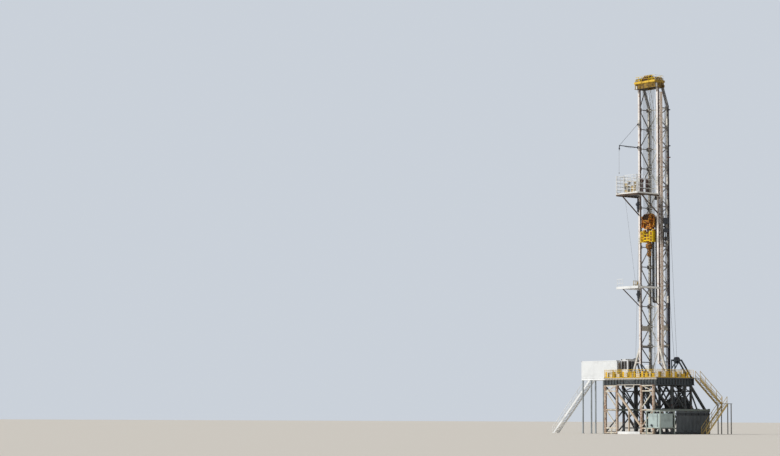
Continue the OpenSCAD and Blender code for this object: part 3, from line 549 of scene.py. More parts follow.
def block_paint():
    """Paint of the travelling block: orange worn through to brown rust and black grease."""
    finish = Finish("block_paint")
    patches = finish.patches(48)
    colours = finish.mix(tone(240, 176, 62), tone(196, 112, 42), patches.step(0.4, 0.52))
    colours = finish.mix(colours, tone(104, 58, 34), patches.step(0.52, 0.6))
    grease_and_painted_shade = finish.noise(30, 4).step(0.53, 0.6)
    finish.bump(finish.grit() + patches, 0.0007)
    return finish.done(finish.mix(colours, tone(46, 34, 28), grease_and_painted_shade * 0.85), 0.62 - grease_and_painted_shade * 0.2)


def board_paint(name, edge):
    """White paint of a board above a level, and dirty brown steel below it and on the walkway plates."""
    finish = Finish(name)
    patches, runs = finish.patches(40), finish.runs(150, 10)
    under = 1 - finish.z.step(edge - 0.0004, edge + 0.0004)
    white = finish.mix(tone(236, 236, 232), tone(196, 190, 180), (patches * 0.6 + runs * 0.4).step(0.48, 0.68))
    brown = finish.mix(tone(96, 78, 60), tone(48, 40, 36), patches.step(0.4, 0.62))
    rusty = patches.step(0.6, 0.66)
    finish.bump(finish.grit() * 0.5 + rusty)
    return finish.done(finish.mix(finish.mix(white, brown, under), PALE_RUST, rusty * 0.6), rusty * 0.3 + 0.5)


def base_paint(name, bright, worn):
    """Paint of the base boxes: pale at the front, blackish blue behind it as painted shade, grey-green low chords.
    """
    finish = Finish(name)
    front = 1 - finish.y.step(-0.366, -0.362)
    runs, patches, grit = finish.runs(), finish.patches(38), finish.grit()
    pale = finish.mix(bright, worn, patches.step(0.44, 0.64))
    # everything behind the front members is blackish blue: painted shade
    dark = finish.mix(tone(70, 76, 78), tone(34, 37, 41), patches.step(0.4, 0.66))
    chord = finish.z.between(-0.446, -0.419) * (1 - front)
    colours = finish.mix(finish.mix(dark, pale, front), tone(128, 138, 132), chord * 0.85)
    rusty = (patches * 0.6 + runs * 0.4).step(0.57, 0.65)
    finish.bump(grit * 0.5 + rusty)
    return finish.done(finish.mix(colours, RUST, rusty * 0.7), rusty * 0.3 + (grit * 0.12 + 0.5))


def header_paint():
    """Paint of the floor beams: blackish blue, with a pale top flange and bracket at the front."""
    finish = Finish("header_paint")
    front = 1 - finish.y.step(-0.384, -0.366)
    low = (1 - finish.z.step(-0.094, -0.092)) * finish.x.between(-0.235, 0.2)
    pale = front * (finish.z.step(-0.030, -0.026) + low)
    runs, patches = finish.runs(), finish.patches(40)
    dark = finish.mix(tone(78, 84, 86), tone(46, 50, 53), patches.step(0.4, 0.66))
    colours = finish.mix(dark, tone(218, 212, 200), pale)
    rusty = (patches * 0.6 + runs * 0.4).step(0.58, 0.66)
    finish.bump(patches + rusty)
    return finish.done(finish.mix(colours, RUST, rusty * 0.6), rusty * 0.3 + 0.5)


RUBBER = rubber()
GLASS = window_glass()
MAST_WHITE = mast_paint()
BASE = base_paint("base_paint", tone(192, 176, 158), tone(160, 122, 100))
CROSS = base_paint("base_cross_paint", tone(216, 212, 196), tone(184, 160, 136))
HEADER = header_paint()
CROWN = crown_paint()
PIPE = standpipe_paint()
DRIVE = drive_paint()
ORANGE = block_paint()
RACK_PAINT = board_paint("racking_board_paint", 2.4995)
BELLY_PAINT = board_paint("belly_board_paint", 1.2105)

NODES_OF = {
    BASE: ["base_left_outer", "base_left_inner", "base_right_inner", "base_right_outer"],
    CROSS: ["base_left_cross", "base_right_cross"],
    BACK: ["mast_back"],
    HEADER: ["floor_cross_beams"],
    NAVY: ["floor_girders", "a_frame_left", "a_frame_right"],
    TANK_FRAME: ["trip_tank_frame"],
    DARK: ["rear_braces", "drawworks", "jib", "racking_fingers"],
    WHITE: ["ground_spreaders", "racking_walls", "board_rails", "left_stair_sides", "crown_rails"],
    HOUSE: ["doghouse_walls", "doghouse_roof", "doghouse_floor", "cabin_walls", "cabin_roof", "winch_cabinet"],
    RACK_PAINT: ["racking_board"],
    BELLY_PAINT: ["belly_board"],
    MAST_WHITE: ["mast_left_side", "mast_right_side"],
    OFF_WHITE: ["mast_struts"],
    BEIGE: ["front_brace", "doghouse_door"],
    PIPE: ["standpipe"],
    STAIR: ["right_stair_sides"],
    RAIL: ["floor_rails"],
    DRIVE: ["top_drive"],
    CROWN: ["crown_frame"],
    ORANGE: ["travelling_block"],
    HANDLER: ["pipe_handler"],
    GREEN: ["trip_tank_shell", "trip_tank_ends"],
    DECK: ["floor_deck", "rotary_plate"],
    GREY: ["rear_platform", "left_stair_treads", "right_stair_treads"],
    POST: ["doghouse_legs"],
    STEEL: ["rotary_table", "jib_line"],
    SHEAVE: ["crown_sheaves", "block_sheaves"],
    TACKLE: ["raising_sheaves"],
    LAY: ["fast_line", "raising_lines"],
    GLASS: ["cabin_glass"],
}
SLOTS = {
    "white_paint": [WHITE, OFF_WHITE, LATTICE, HOUSE],
    "dark_steel": [DARK, NAVY, PLATING, BASE, HEADER],
    "beige_paint": [BEIGE, STAIR],
    "yellow_paint": [YELLOW, RAIL, CROWN, CROWN_GEAR],
    "orange_paint": [ORANGE, HANDLER, BROWN],
    "green_paint": [GREEN],
    "deck_steel": [GREY],
    "bare_steel": [STEEL, LAY],
    "black_rubber": [RUBBER],
    "glass": [GLASS],
}
SLOT_OF = {finish: slot for slot, finishes in SLOTS.items() for finish in finishes}


def paint_nodes():
    for finish, names in NODES_OF.items():
        for name in names:
            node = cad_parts[name]
            node.data.materials.clear()
            node.data.materials.append(finish)


# Free hoses of the service loop, from the top drive down, round, and up to the mast

LOOP_X = (76, 140)
LOOP_START = 1860
LOOP_END = 2200
LOOP_TURN = 1056
LOOP_HOSES = [-18, -6, 6, 18]
HOSE_WIDTH = 8


def hose_line(y):
    """Down at the first x, half a turn about the point between, and up at the second x."""
    first, second = LOOP_X
    radius = (second - first) / 2
    angle = math.pi * np.arange(1, 12) / 12
    x = np.r_[np.full(7, first), first + radius * (1 - np.cos(angle)), np.full(9, second)]
    down, up = np.linspace(LOOP_START, LOOP_TURN, 7), np.linspace(LOOP_TURN, LOOP_END, 9)
    z = np.r_[down, LOOP_TURN - radius * np.sin(angle), up]
    return np.stack([x, np.full(len(x), y), z], -1)


def service_hoses():
    for number, y in enumerate(LOOP_HOSES):
        line = hose_line(y)
        hose = put(f"service_hose_{number + 1}", [tube(line, HOSE_WIDTH, 10)], RUBBER, body=None,
                   smooth=True, stand_for=["service_loop"] if number == 0 else ())
        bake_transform(hose)


# Drilling line

LINES = (np.arange(6) - 2.5) * 17
LINE_Y = 60.1
LINE_WIDTH = 3.6
CROWN_AXIS = 4099
BLOCK_AXIS = 2180


def drilling_line():
    """Twelve falls between the crown's sheaves and the block's."""
    heights = np.linspace(BLOCK_AXIS, CROWN_AXIS, 16)
    falls = [tube(spread(x, y, heights), LINE_WIDTH) for x, y in spread(LINES, [-LINE_Y, LINE_Y])]
    piece = put("drilling_line", falls, LAY, body=None, smooth=True, stand_for=["drill_lines"])
    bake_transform(piece)


def line_wraps():
    """Half turns of the line over each sheave of the crown and under each one of the block."""
    rows = (("crown_wraps", CROWN_AXIS, math.pi, "root"), ("block_wraps", BLOCK_AXIS, -math.pi, "hoist"))
    for name, axis, turn, body in rows:
        angles = np.linspace(0, turn, 19)
        wraps = [tube(arc((x, 0, axis), LINE_Y, "x", angles), LINE_WIDTH) for x in LINES]
        put(name, wraps, LAY, body=body, smooth=True)


# Mast

LEG_X = 175
MAST_DEPTH = 190
KNEE = 440
BAYS = 12
TOP_GIRT = 3710
GIRTS = np.linspace(KNEE, TOP_GIRT, BAYS + 1)
SPLICES = np.array([1075, 1890, 2706, 3520])
LADDER = (-150, -108)


def mast_gussets():
    """Plates where girts and braces meet the legs, on both sides and the back, with their bolts."""
    face, back, middle = LEG_X + 5, MAST_DEPTH + 5, GIRTS[::2]
    plates = mirrored(boxes([2, 33, 52], face, [15, 142], GIRTS - 26), boxes([34, 2, 52], 138, back, GIRTS - 26))
    plates.append(boxes([48, 2, 48], -24, back, middle - 24))
    heads = mirrored(bolts(spread(face + 2, [23, 40, 150, 167], sums(GIRTS, [-16, 0, 16])), (1, 0, 0)),
                     bolts(spread([146, 162], back + 2, sums(GIRTS, [-16, 16])), (0, 1, 0)))
    heads.append(bolts(spread([-14, 14], back + 2, sums(middle, [-12, 12])), (0, 1, 0)))
    put("mast_gussets", plates, LATTICE)
    put("mast_bolts", heads, STEEL)


def leg_splices():
    """Splice plates round each leg where the mast's sections are pinned together, with their pins."""
    plates, pins = [], []
    legs = np.array([-LEG_X, LEG_X])
    for face, low in ((-17.5, -17.5), (17.5, 15)):
        plates.append(boxes([30, 2.5, 90], legs - 15, [low, MAST_DEPTH + low], SPLICES - 45))
        places = spread(sums(legs, [-8, 8]), [face, MAST_DEPTH + face], sums(SPLICES, [-32, -12, 12, 32]))
        pins.append(bolts(places, (0, np.sign(face), 0), 5.5))
    put("leg_splices", plates, OFF_WHITE)
    put("splice_pins", pins, STEEL)


def ladder():
    """Ladder up the mast's back: two rails, rungs 30 apart, a bracket at each girt, and a cage of hoops."""
    rails, out, top = list(LADDER), MAST_DEPTH + 22, TOP_GIRT + 25
    shapes = [rods(rails, out, (0, top), 5, 3), rods(rails, (out, 134), (top, 4060), 5, 3),
              rods(LADDER, out, np.arange(20, 3720, 30), 2.4), rods(rails, (MAST_DEPTH + 4, out), GIRTS, 3, 3),
              rods([-146, -129, -112], out + 26, (250, 3700), 2.4, 2.4)]
    bend = np.linspace(0, math.pi, 7)
    for height in np.arange(250, 3720, 90):
        hoop = np.stack([-129 + 24 * np.cos(bend), out + 34 * np.sin(bend), np.full(7, height)], -1)
        shapes.append(tube(hoop, 2.4, 4))
    put("mast_ladder", shapes, WHITE)


def mast_cabinets():
    """Junction boxes, cable column and trays on the mast's right side, and lamps on its legs."""
    dark = [slabs((180, 68, 2106, 206, 170, 2190), (180, 72, 1990, 202, 172, 2044),
                  (180, 66, 1790, 200, 90, 1988), (182, 110, 2046, 190, 122, 2106),
                  (180, 118, 1880, 198, 160, 1932)),
            boxes([2, 44, 32], 206, [72, 122], [2112, 2152]), rods(202, [70, 78, 86], (1796, 1984), 4),
            boxes([4, 104, 6], 180, 68, [1830, 1916, 2060])]
    tray_x = np.array([-152, 146])
    trays = [rods(tray_x, [168, 177], (30, 3700), 3, 3), rods(tray_x, (168, 177), np.arange(60, 3690, 48), 2, 2)]
    cables = [tube(spread(x, 172.5, np.linspace(32, 3690, 12)), 4, 6) for x in tray_x + 2]
    shutters = [boxes([4, 7, 212], -182, [22, 44, 62, 122, 146, 166], 2552),
                slabs((-181, 22, 2576, -179, 69, 2756), (-181, 122, 2570, -179, 173, 2760))]
    put("mast_shutters", shutters, BROWN, slot="dark_steel")
    put("mast_cabinets", dark, DARK)
    put("mast_trays", trays, LATTICE)
    put("mast_cables", cables, RUBBER, smooth=True)
    put("mast_lamps", [both_sides(boxes([12, 20, 14], 190, 24, [640, 1500, 2760, 3600]))], DARK)


def jib_hook():
    """Sheave block and hook that hang close under the jib's tip, beside its line."""
    place = np.array([-LEG_X, -393, 3126])
    hook = arc(place - [0, 0, 8], 7, "x", math.pi / 2 - np.linspace(0, 1.4 * math.pi, 12))
    shapes = [slabs((-6, -8, 0, 6, 8, 24), (-2.5, -3, 22, 2.5, 3, 44), at=place), tube(hook, 4, 6)]
    put("jib_hook", shapes, DARK, body="jib_arm")


# Crown

CROWN_LOW = 3985
CROWN_TOP = 4075


def crown_ironwork():
    """Flanges and stiffeners on the crown's girders, toe boards, ribs below and pillow blocks."""
    levels, inside = [CROWN_LOW, CROWN_TOP - 4], CROWN_LOW + 4
    shapes = mirrored(
        boxes([6, 182, 4], 190, -70, levels), boxes([4, 5, 82], [76, 106, 136, 164], [-75, 112], inside),
        boxes([5, 4, 82], 190, [-50, -10, 30, 62], inside), boxes([124, 2, 14], 66, [-70, 110], CROWN_TOP),
        slabs((188, -70, 0, 190, 112, 14), (196, -76, -17, 199, 118, 10), (64, -22, 0, 80, 22, 8),
              at=(0, 0, CROWN_TOP)), rods((64, 76), 0, CROWN_AXIS, 38, sides=20))
    shapes.append(boxes([392, 6, 4], -196, [-76, 112], levels))
    shapes.append(boxes([396, 4, 27], -198, [-80, 118], CROWN_TOP - 17))
    ribs = mirrored(boxes([116, 6, 14], 66, [-45, -20, 42, 84], CROWN_LOW - 2),
                    boxes([6, 166, 14], [96, 140], -62, CROWN_LOW - 2))
    heads = [both_sides(bolts(ring_of(8, 14, (76, 0, CROWN_AXIS), "x"), (1, 0, 0), 4)),
             bolts(spread([-150, -120, -90, 90, 120, 150], -70, [CROWN_LOW + 14, CROWN_TOP - 14]), (0, -1, 0))]
    put("crown_ironwork", shapes, CROWN)
    put("crown_ribs", ribs, DARK)
    put("crown_bolts", heads, STEEL)


def crown_guards():
    """Cage of hoops over the crown's sheaves, rails and frames at the ends of its walkways, and leg caps."""
    cage = []
    for x, start in ((-59, -19), (-30, 12), (0, 12), (30, 12), (59, -19)):
        turn = np.radians(np.linspace(start, 180 - start, 19))
        cage.append(tube(arc((x, 0, CROWN_AXIS), 73, "x", turn), 3.5, 6))
    ends = arc((60, 0, CROWN_AXIS), 73, "x", np.radians(np.arange(12, 169, 26)))
    cage.append(bars(ends * [-1, 1, 1], ends, 3, 3))
    rails = mirrored(rods((70, 183), [-62, 104], [CROWN_TOP + 38, CROWN_TOP + 78], 4, 4),
                     rods([70, 126], [-62, 104], (CROWN_TOP, CROWN_TOP + 80), 4, 4))
    columns, rows, top, wheel = [92, 138, 178], [-58, 20, 84], CROWN_TOP + 50, CROWN_TOP + 34
    gear = mirrored(
        rods(columns, rows, (CROWN_TOP, CROWN_TOP + 52), 6, 6), rods(columns, (-58, 84), top, 5, 6),
        rods((92, 178), rows, top, 5, 6), rods((92, 178), rows[:2], (CROWN_TOP + 4, CROWN_TOP + 48), 5, 5),
        rods((104, 116), -20, wheel, 60, sides=20), rods((88, 132), -20, wheel, 12, sides=12),
        boxes([3, 7, 40], 186, np.arange(-66, 100, 14), CROWN_TOP))
    heads = [slabs((-162, -81, 0, -138, -76, 42), (196, -56, 4, 199, -28, 58), at=(0, 0, CROWN_LOW)),
             bolts(spread([-156, -144], -81, [CROWN_LOW + 10, CROWN_LOW + 32]), (0, -1, 0), 4)]
    put("crown_side_frames", gear, CROWN_GEAR)
    put("crown_leg_caps", heads, OFF_WHITE)
    put("crown_guard_cage", cage, CROWN)
    put("crown_end_rails", rails, YELLOW)


# Travelling block and top drive

DRIVE_LOW = 1860
DRIVE_TOP = 2008


def block_ironwork():
    """Covers round the block's sheaves, bolt rings, hub caps and ribs, and pads on its guide frames."""
    centre = (0, 0, BLOCK_AXIS)
    shapes = [bent_plate(centre, 70, 73, -54, 54, *ends) for ends in ((52, 128), (196, 244), (296, 344))]
    shapes += mirrored(
        rods((64, 71), 0, BLOCK_AXIS, 40, sides=20), rods((66, 107), -9, (2203, 2077), 7, 5),
        slabs((88, -14, 2082, 93, -8, 2198), (64, -20, 2140, 106, -14, 2146), (64, 14, 2140, 106, 20, 2146)))
    shapes.append(boxes([4, 4, 56], [-42, -16, 12, 38], [-34, 30], 2044))
    heads = mirrored(bolts(ring_of(12, 60, (64, 0, BLOCK_AXIS), "x"), (1, 0, 0), 5),
                     bolts(ring_of(6, 13, (71, 0, BLOCK_AXIS), "x"), (1, 0, 0), 4))
    heads.append(bolts(spread([-29, -1, 25], -30, [2056, 2088]), (0, -1, 0), 6))
    put("block_ironwork", shapes, ORANGE, body="hoist")
    put("block_bolts", heads, STEEL, body="hoist")
    put("block_wear_pads", [both_sides(boxes([2.5, 12, 22], 115, [-28, 16], [2066, 2190]))], DARK, body="hoist")


def drive_ironwork():
    """Ribs, louvres, lids and bolts on the top drive's housings, its mud pipe and motor cowls."""
    levels = [DRIVE_LOW, DRIVE_LOW + 44, DRIVE_LOW + 84, DRIVE_TOP - 5]
    ribs = mirrored(boxes([5, 4, DRIVE_TOP - DRIVE_LOW], [57, 110], [-56, 52], DRIVE_LOW),
                    boxes([48, 4, 5], 62, [-56, 52], levels),
                    boxes([2, 36, 50], 115, [-42, 6], [DRIVE_LOW + 12, DRIVE_LOW + 84]),
                    boxes([3, 4, 140], 115, [-50, -2, 46], DRIVE_LOW + 4))
    dark = mirrored(boxes([36, 2.4, 3.5], 68, [-54.4, 52], DRIVE_LOW + np.r_[8:40:6, 52:80:6]),
                    boxes([32, 2.8, 42], 70, [-54.8, 52], DRIVE_LOW + 94), rods(86, 0, (2010, 2026), 52, sides=20))
    dark.append(boxes([36, 3, 26], [-46, 10], [-48, 45], [1892, 1930]))
    for y in (-48, 45):
        ribs.append(slabs((-56, 0, 1878, 56, 3, 1884), (-56, 0, 1964, 56, 3, 1970), (-3, 0, 1882, 3, 3, 1964),
                          at=(0, y, 0)))
    pipe = [(0, 0, 1968), (0, 0, 1992), (0, 6, 2006), (2, 22, 2014),
            (22, 38, 2014), (52, 44, 2012), (68, 46, 2006), (72, 46, 1996)]
    ribs.append(tube(pipe, 9))
    heads = [bolts(spread([-107, -65, 65, 107], y, [DRIVE_LOW + 48, DRIVE_LOW + 88]), (0, np.sign(y), 0), 4, 5)
             for y in (-52, 52)]
    put("drive_ribs", ribs, YELLOW, body="hoist")
    put("drive_louvres", dark, HANDLER, body="hoist")
    put("drive_bolts", heads, STEEL, body="hoist")
    collars = rods(LOOP_X[0], LOOP_HOSES, (LOOP_START, LOOP_START - 22), 11, sides=12)
    put("hose_collars_drive", [collars], STEEL, body="hoist")
    put("hose_collars_mast", [rods(LOOP_X[1], LOOP_HOSES, (LOOP_END - 24, LOOP_END), 11, sides=12)], STEEL)


def handler_ironwork():
    """Band, cylinders and bolts on the pipe handler, with the hinge pins and cheeks at its foot."""
    low = DRIVE_LOW - 200
    shapes = [both_sides(rods(40, 0, (1832, 1772), 13, sides=12)),
              slabs((-46, -8, 1796, 46, 8, 1806), (-8, -46, 1796, 8, -34, 1806), (-8, 34, 1796, 8, 46, 1806)),
              both_sides(slabs((26, -10, 14, 34, 10, 40), at=(0, 0, low)))]
    heads = [bolts(ring_of(12, 43, (0, 0, 1834), "z"), (0, 0, 1), 5, 3), both_sides(rods((22, 40), 0, low + 26, 9)),
             bolts(ring_of(8, 24, (0, 0, low + 54), "z"), (0, 0, 1), 4)]
    put("handler_ironwork", shapes, HANDLER, body="hoist")
    put("handler_bolts", heads, STEEL, body="hoist")


# Boards

RACK = 2515
BELLY = 1230
BOARD_X = 205
BOARD_FRONT = -430
ON_RACK = (0, 0, RACK)
ON_BELLY = (0, 0, BELLY)


def board_mesh():
    """Wire mesh of the wind walls: upright and level wires in the planes of their frames."""
    front, left, top = BOARD_FRONT + 2.5, 2.5 - BOARD_X, RACK + 238
    levels = np.arange(RACK + 21, RACK + 236, 24)
    wires = [rods(np.arange(-46, 194, 24), front, (RACK, top), 1, 1), rods((-57, 195), front, levels, 1, 1),
             rods(left, np.arange(-404, -34, 24), (RACK, top), 1, 1), rods(left, (-418, -30), levels, 1, 1)]
    put("wind_wall_mesh", wires, WHITE)


def board_gear():
    """Toe boards, kick plates, latches and hand winch of the racking board, and what hangs below it."""
    front, fingers = BOARD_FRONT, 25 * np.arange(9)
    white = [slabs((-130, -372, 0, 130, -370, 12), (-199, -424, 0, -197, -20, 14), (62, -412, 0, 195, -410, 12),
                   (-60, front, 0, -49, front + 8, 240), (-205, front, 0, -195, front + 8, 240),
                   (186, front, 0, 196, front + 8, 240), (-206, -268, 0, -197, -260, 240), at=ON_RACK),
             both_sides(slabs((130, -370, 0, 132, -15, 12), at=ON_RACK)),
             boxes([8, 160, 7], -206, -424, sums([RACK], [44, 92, 140, 188, 230])),
             boxes([6, 3, 20], [-204, 198], np.arange(-400, -40, 60), RACK - 37)]
    dark = mirrored(boxes([6, 8, 9], [112, 120], fingers - 326, RACK - 4),
                    boxes([5, 7, 14], 34, fingers - 325.5, RACK - 17))
    dark += [boxes([396, 4, 8], -198, np.arange(-424, -372, 17), RACK - 24),
             boxes([6, 354, 8], [-172, 166], -370, RACK - 24), slabs((-20, -350, 0, 20, -345, 8), at=ON_RACK)]
    # hand winch, hose reel and lockers on the walkway
    beige = [slabs((0, -418, 0, 94, -374, 6), (0, -418, 6, 8, -374, 92), (74, -418, 6, 82, -374, 92),
                   (82, -412, 14, 104, -382, 78), (-50, -416, 14, -12, -386, 128),
                   (110, -418, 84, 142, -390, 142), (128, -412, 0, 134, -386, 84),
                   (-36, -406, 0, -28, -398, 20), (-8, -414, 150, 92, -408, 156), at=ON_RACK),
             rods((8, 74), -396, RACK + 50, 44, sides=18)]
    dark += [rods((10, 72), -396, RACK + 50, 56, sides=18),
             slabs((-44, -418, 34, -18, -414, 84), (114, -419.5, 92, 138, -417.5, 134),
                   (20, -416, 112, 52, -396, 150), at=ON_RACK)]
    # snatch blocks and reel below the board
    dark += [slabs((-199, -38, 2336, -167, -17, 2424), (-196, -34, 2286, -177, -19, 2336),
                   (-192, -34, 2424, -184, -20, 2499), (138, -30, 2430, 156, -8, 2480),
                   (142, -26, 2470, 150, -14, 2500)),
             rods((-204, -162), -34, 2392, 40, sides=16), rods((132, 160), -20, 2446, 26, sides=14)]
    put("board_trim", white, WHITE)
    put("board_dark_gear", dark, DARK)
    put("board_winch", beige, STAIR)
    put("board_line", [rods(-196, (-269, -76), (2493, BELLY + 106), 2.2)], LAY, smooth=True)


def belly_gear():
    """Toe boards, hinge pins, brackets and small gear on the belly board."""
    front = BOARD_FRONT
    white = [slabs((-205, front - 2, -26, 205, front, 8), at=ON_BELLY),
             both_sides(slabs((203, front, 0, 205, -15, 8), at=ON_BELLY)),
             boxes([380, 2, 1.5], -190, np.arange(-426, -412, 4), BELLY)]
    beige = [boxes([6, 5, 106], -199, [-112, -80, -48, -24], BELLY),
             slabs((-199, -112, 100, -193, -19, 106), (-199, -112, 52, -193, -19, 57),
                   (-197, -76, 0, -189, -30, 46), (-197, -46, 58, -189, -26, 88), at=ON_BELLY)]
    dark = [slabs((-200, -38, 1104, -167, -17, 1204), (-196, -32, 1050, -177, -18, 1104),
                  (150, -30, 1108, 159, -18, 1150), (148, -34, 1138, 157, -18, 1214)),
            rods((-204, -160), -32, 1150, 38, sides=14)]
    put("belly_trim", white, WHITE)
    put("belly_gear", beige, STAIR)
    put("belly_dark_gear", dark, DARK)
    put("belly_pins", [both_sides(rods((166, 206), -17, BELLY - 10, 8, sides=10))], STEEL)


# Floor and its edge

FLOOR_X = 495
FLOOR_FRONT = -390
FLOOR_BACK = 355
LEFT_RAIL = -489


def floor_edges():
    """Toe boards, middle rails and pickets along the floor's edges, with the rails of its back edge."""
    front, right, back = FLOOR_FRONT + 6, FLOOR_X - 5, FLOOR_BACK - 6
    low, rails, posts = [28, 82], [28, 54, 82, 108], (0, 108)
    yellow = [slabs((4 - FLOOR_X, front - 5, 0, FLOOR_X - 14, front - 3, 9),
                    (right + 1, front + 6, 0, right + 3, 262, 9),
                    (-225, back + 3, 0, 480, back + 5, 15), (LEFT_RAIL - 4, front, 0, LEFT_RAIL - 2, -80, 15)),
              rods((LEFT_RAIL, 475), front, low, 3.6), rods(right, (-370, 262), low, 3.6),
              rods(np.arange(-470, 470, 32.5), front, posts, 3),
              rods(right, np.arange(-350, 262, 32.5), posts, 3),
              rods((-225, 480), back, rails, 4), rods(np.arange(-225, 485, 47), back, posts, 4),
              rods(LEFT_RAIL, (front, -80), rails, 4), rods(LEFT_RAIL, (110, back), rails, 4),
              rods(LEFT_RAIL, np.r_[front:-80:43, 110:345:47], posts, 4)]
    white = []
    for x, width, height in ((-470, 30, 78), (-392, 46, 62), (-320, 22, 84), (-262, 60, 50), (-150, 34, 80),
                             (-84, 26, 62), (-20, 52, 74), (66, 24, 86), (120, 58, 56), (214, 30, 80),
                             (284, 44, 66), (360, 26, 84), (414, 40, 58)):
        panels = white if x in (-392, -262, -84, 120, 360) else yellow
        panel, cap = (0, 2, 9, width, 4, height), (0, -1, height - 4, width, 5, height)
        panels.append(slabs(panel, cap, at=(x, front, 0)))
    for y, width, height in ((-340, 40, 76), (-262, 28, 60), (-196, 56, 82), (-96, 30, 64), (-24, 44, 78),
                             (62, 26, 86), (120, 52, 58), (204, 34, 80)):
        panels = white if y in (-262, 62) else yellow
        panel, cap = (-4, 0, 9, -2, width, height), (-5, 0, height - 4, 1, width, height)
        panels.append(slabs(panel, cap, at=(right, y, 0)))
    put("floor_edge_panels", white, OFF_WHITE)
    put("floor_edge_rails", yellow, RAIL)
    put("rail_sockets", [boxes([10, 10, 6], np.arange(LEFT_RAIL, 470, 192.8) - 5, front - 5, 0)], GREY)


def floor_stiffeners():
    """Stiffeners of the floor's outer beams, with bolts where the beams meet."""
    dark = [boxes([4, 9.6, 76], np.r_[-470:-130:56, 90:490:56], FLOOR_FRONT + 1, -92),
            both_sides(boxes([10, 4, 76], FLOOR_X - 11, np.arange(-350, 330, 56), -92)),
            boxes([4, 10, 76], np.arange(-470, 480, 56), FLOOR_BACK - 11, -92)]
    heads = bolts(spread([-476, -466, 466, 476], FLOOR_FRONT + 11, np.arange(-84, -20, 14)), (0, -1, 0), 4.4, 3)
    put("floor_stiffeners", dark, HEADER)
    put("floor_bolts", [heads], STEEL)


def locker(x, y, width, depth, height):
    """Box with a lid's band round it just below its top."""
    band = (-2, -2, height - 6, width + 2, depth + 2, height - 2)
    return slabs((0, 0, 0, width, depth, height), band, at=(x, y, 0))


def floor_gear():
    """Hand winches, lockers, pipe rest, rotary ring and pipe seat's strips that stand on the floor."""
    yellow, beige, dark = [], [], []
    for x, y in ((-300, -330), (300, -330), (395, 150)):
        yellow += [slabs((-36, -20, 0, 40, 20, 6), (-36, -20, 6, -30, 20, 62), (30, -20, 6, 36, 20, 62),
                         (36, -10, 14, 56, 10, 52), at=(x, y, 0)), rods((x - 30, x + 30), y, 34, 28, sides=18),
                   rods([x - 33, x + 33], y + 16, (62, 90), 4), rods((x - 33, x + 33), y + 16, 88, 4)]
        dark.append(rods((x - 24, x + 24), y, 34, 36, sides=18))
    for x, y, width, height in ((-440, -366, 46, 70), (-356, -364, 30, 88), (-210, -360, 42, 64),
                                (36, -362, 30, 82), (150, -364, 54, 60), (240, -362, 24, 90),
                                (330, -364, 26, 74), (390, -362, 30, 66)):
        dark.append(locker(x, y, width, 22, height))
    for y, depth, height in ((-300, 34, 78), (-150, 40, 60), (0, 30, 84), (90, 26, 70), (168, 34, 88)):
        dark.append(locker(462, y, 18, depth, height))
    for x, height in ((-200, 70), (-120, 70), (210, 80), (250, 80)):
        beige.append(slabs((0, -345, 0, 26, -318, height), (4, -347, 12, 22, -345, 52), at=(x, 0, 0)))
    yellow += [slabs((-70, -352, 0, -62, -340, 78), (60, -352, 0, 68, -340, 78), (-70, -350, 66, 68, -342, 74)),
               rods((-66, 64), -346, 40, 6)]
    dark += [turned([(80, 0), (92, 0), (92, 3), (80, 3)], 40),
             bolts(ring_of(16, 86, (0, 0, 3), "z"), (0, 0, 1), 5, 2.5),
             boxes([8, 3, 1.2], [-96, 88], np.arange(-110, 110, 22), 0)]
    put("floor_winches", yellow, YELLOW)
    put("floor_lockers", beige, BEIGE)
    put("floor_dark_gear", dark, DARK)


# Base

GROUND = -760
CHORD = -420
# where uprights stand along the base boxes' walls; the first four reach up to the floor
STATIONS = np.array([-377, -30, 225, 343, 475, 590, 687])
HIGH_STATIONS = STATIONS[:4]


def base_ironwork():
    """Corner plates at the joints of the boxes' walls, with their bolts, and plates on the front posts."""
    dark, heads = [], []
    for x, side in ((-490, -1), (-240, 1), (195, -1), (445, 1)):
        for stations, levels in ((STATIONS, [GROUND + 8, CHORD - 38]), (HIGH_STATIONS, [-150, CHORD + 2])):
            dark.append(boxes([2, 44, 44], min(x, x + 2 * side), stations - 22, levels))
            places = spread(x + 2 * side, sums(stations, [-15, 0, 15]), sums(levels, [8, 36]))
            heads.append(bolts(places, (side, 0, 0), 4))
    front, posts = FLOOR_FRONT, np.array([-490, -266, 195, 419])
    levels = [GROUND + 30, -560, CHORD - 30, -200, -132]
    pale = [boxes([36, 4, 10], posts - 5, front, GROUND), boxes([22, 2, 26], posts + 2, front - 2, levels)]
    places = spread(sums(posts, [7, 19]), front - 2, sums(levels, [6, 20]))
    heads.append(bolts(places, (0, -1, 0), 3.6))
    put("base_corner_plates", dark, BASE)
    put("base_front_plates", pale, BASE)
    put("base_bolts", heads, STEEL)


def base_pipes():
    """Pipes along the right base box with their brackets, and the ribbed side plate at its back."""
    pipes = [tube(spread(453, np.linspace(-250, 690, 8), z), 8) for z in (CHORD - 60, CHORD - 78)]
    put("base_pipes", pipes + [boxes([12, 8, 34], 445, STATIONS[1:] - 4, CHORD - 86)], DARK)
    plates = [slabs((445, 42, 30, 446.4, 686, 316), at=(0, 0, GROUND)),
              boxes([3.5, 4, 278], 446, np.arange(58, 680, 27), GROUND + 34)]
    put("base_side_plates", plates, PLATING)


# Trip tank and drawworks

TANK_LID = -484


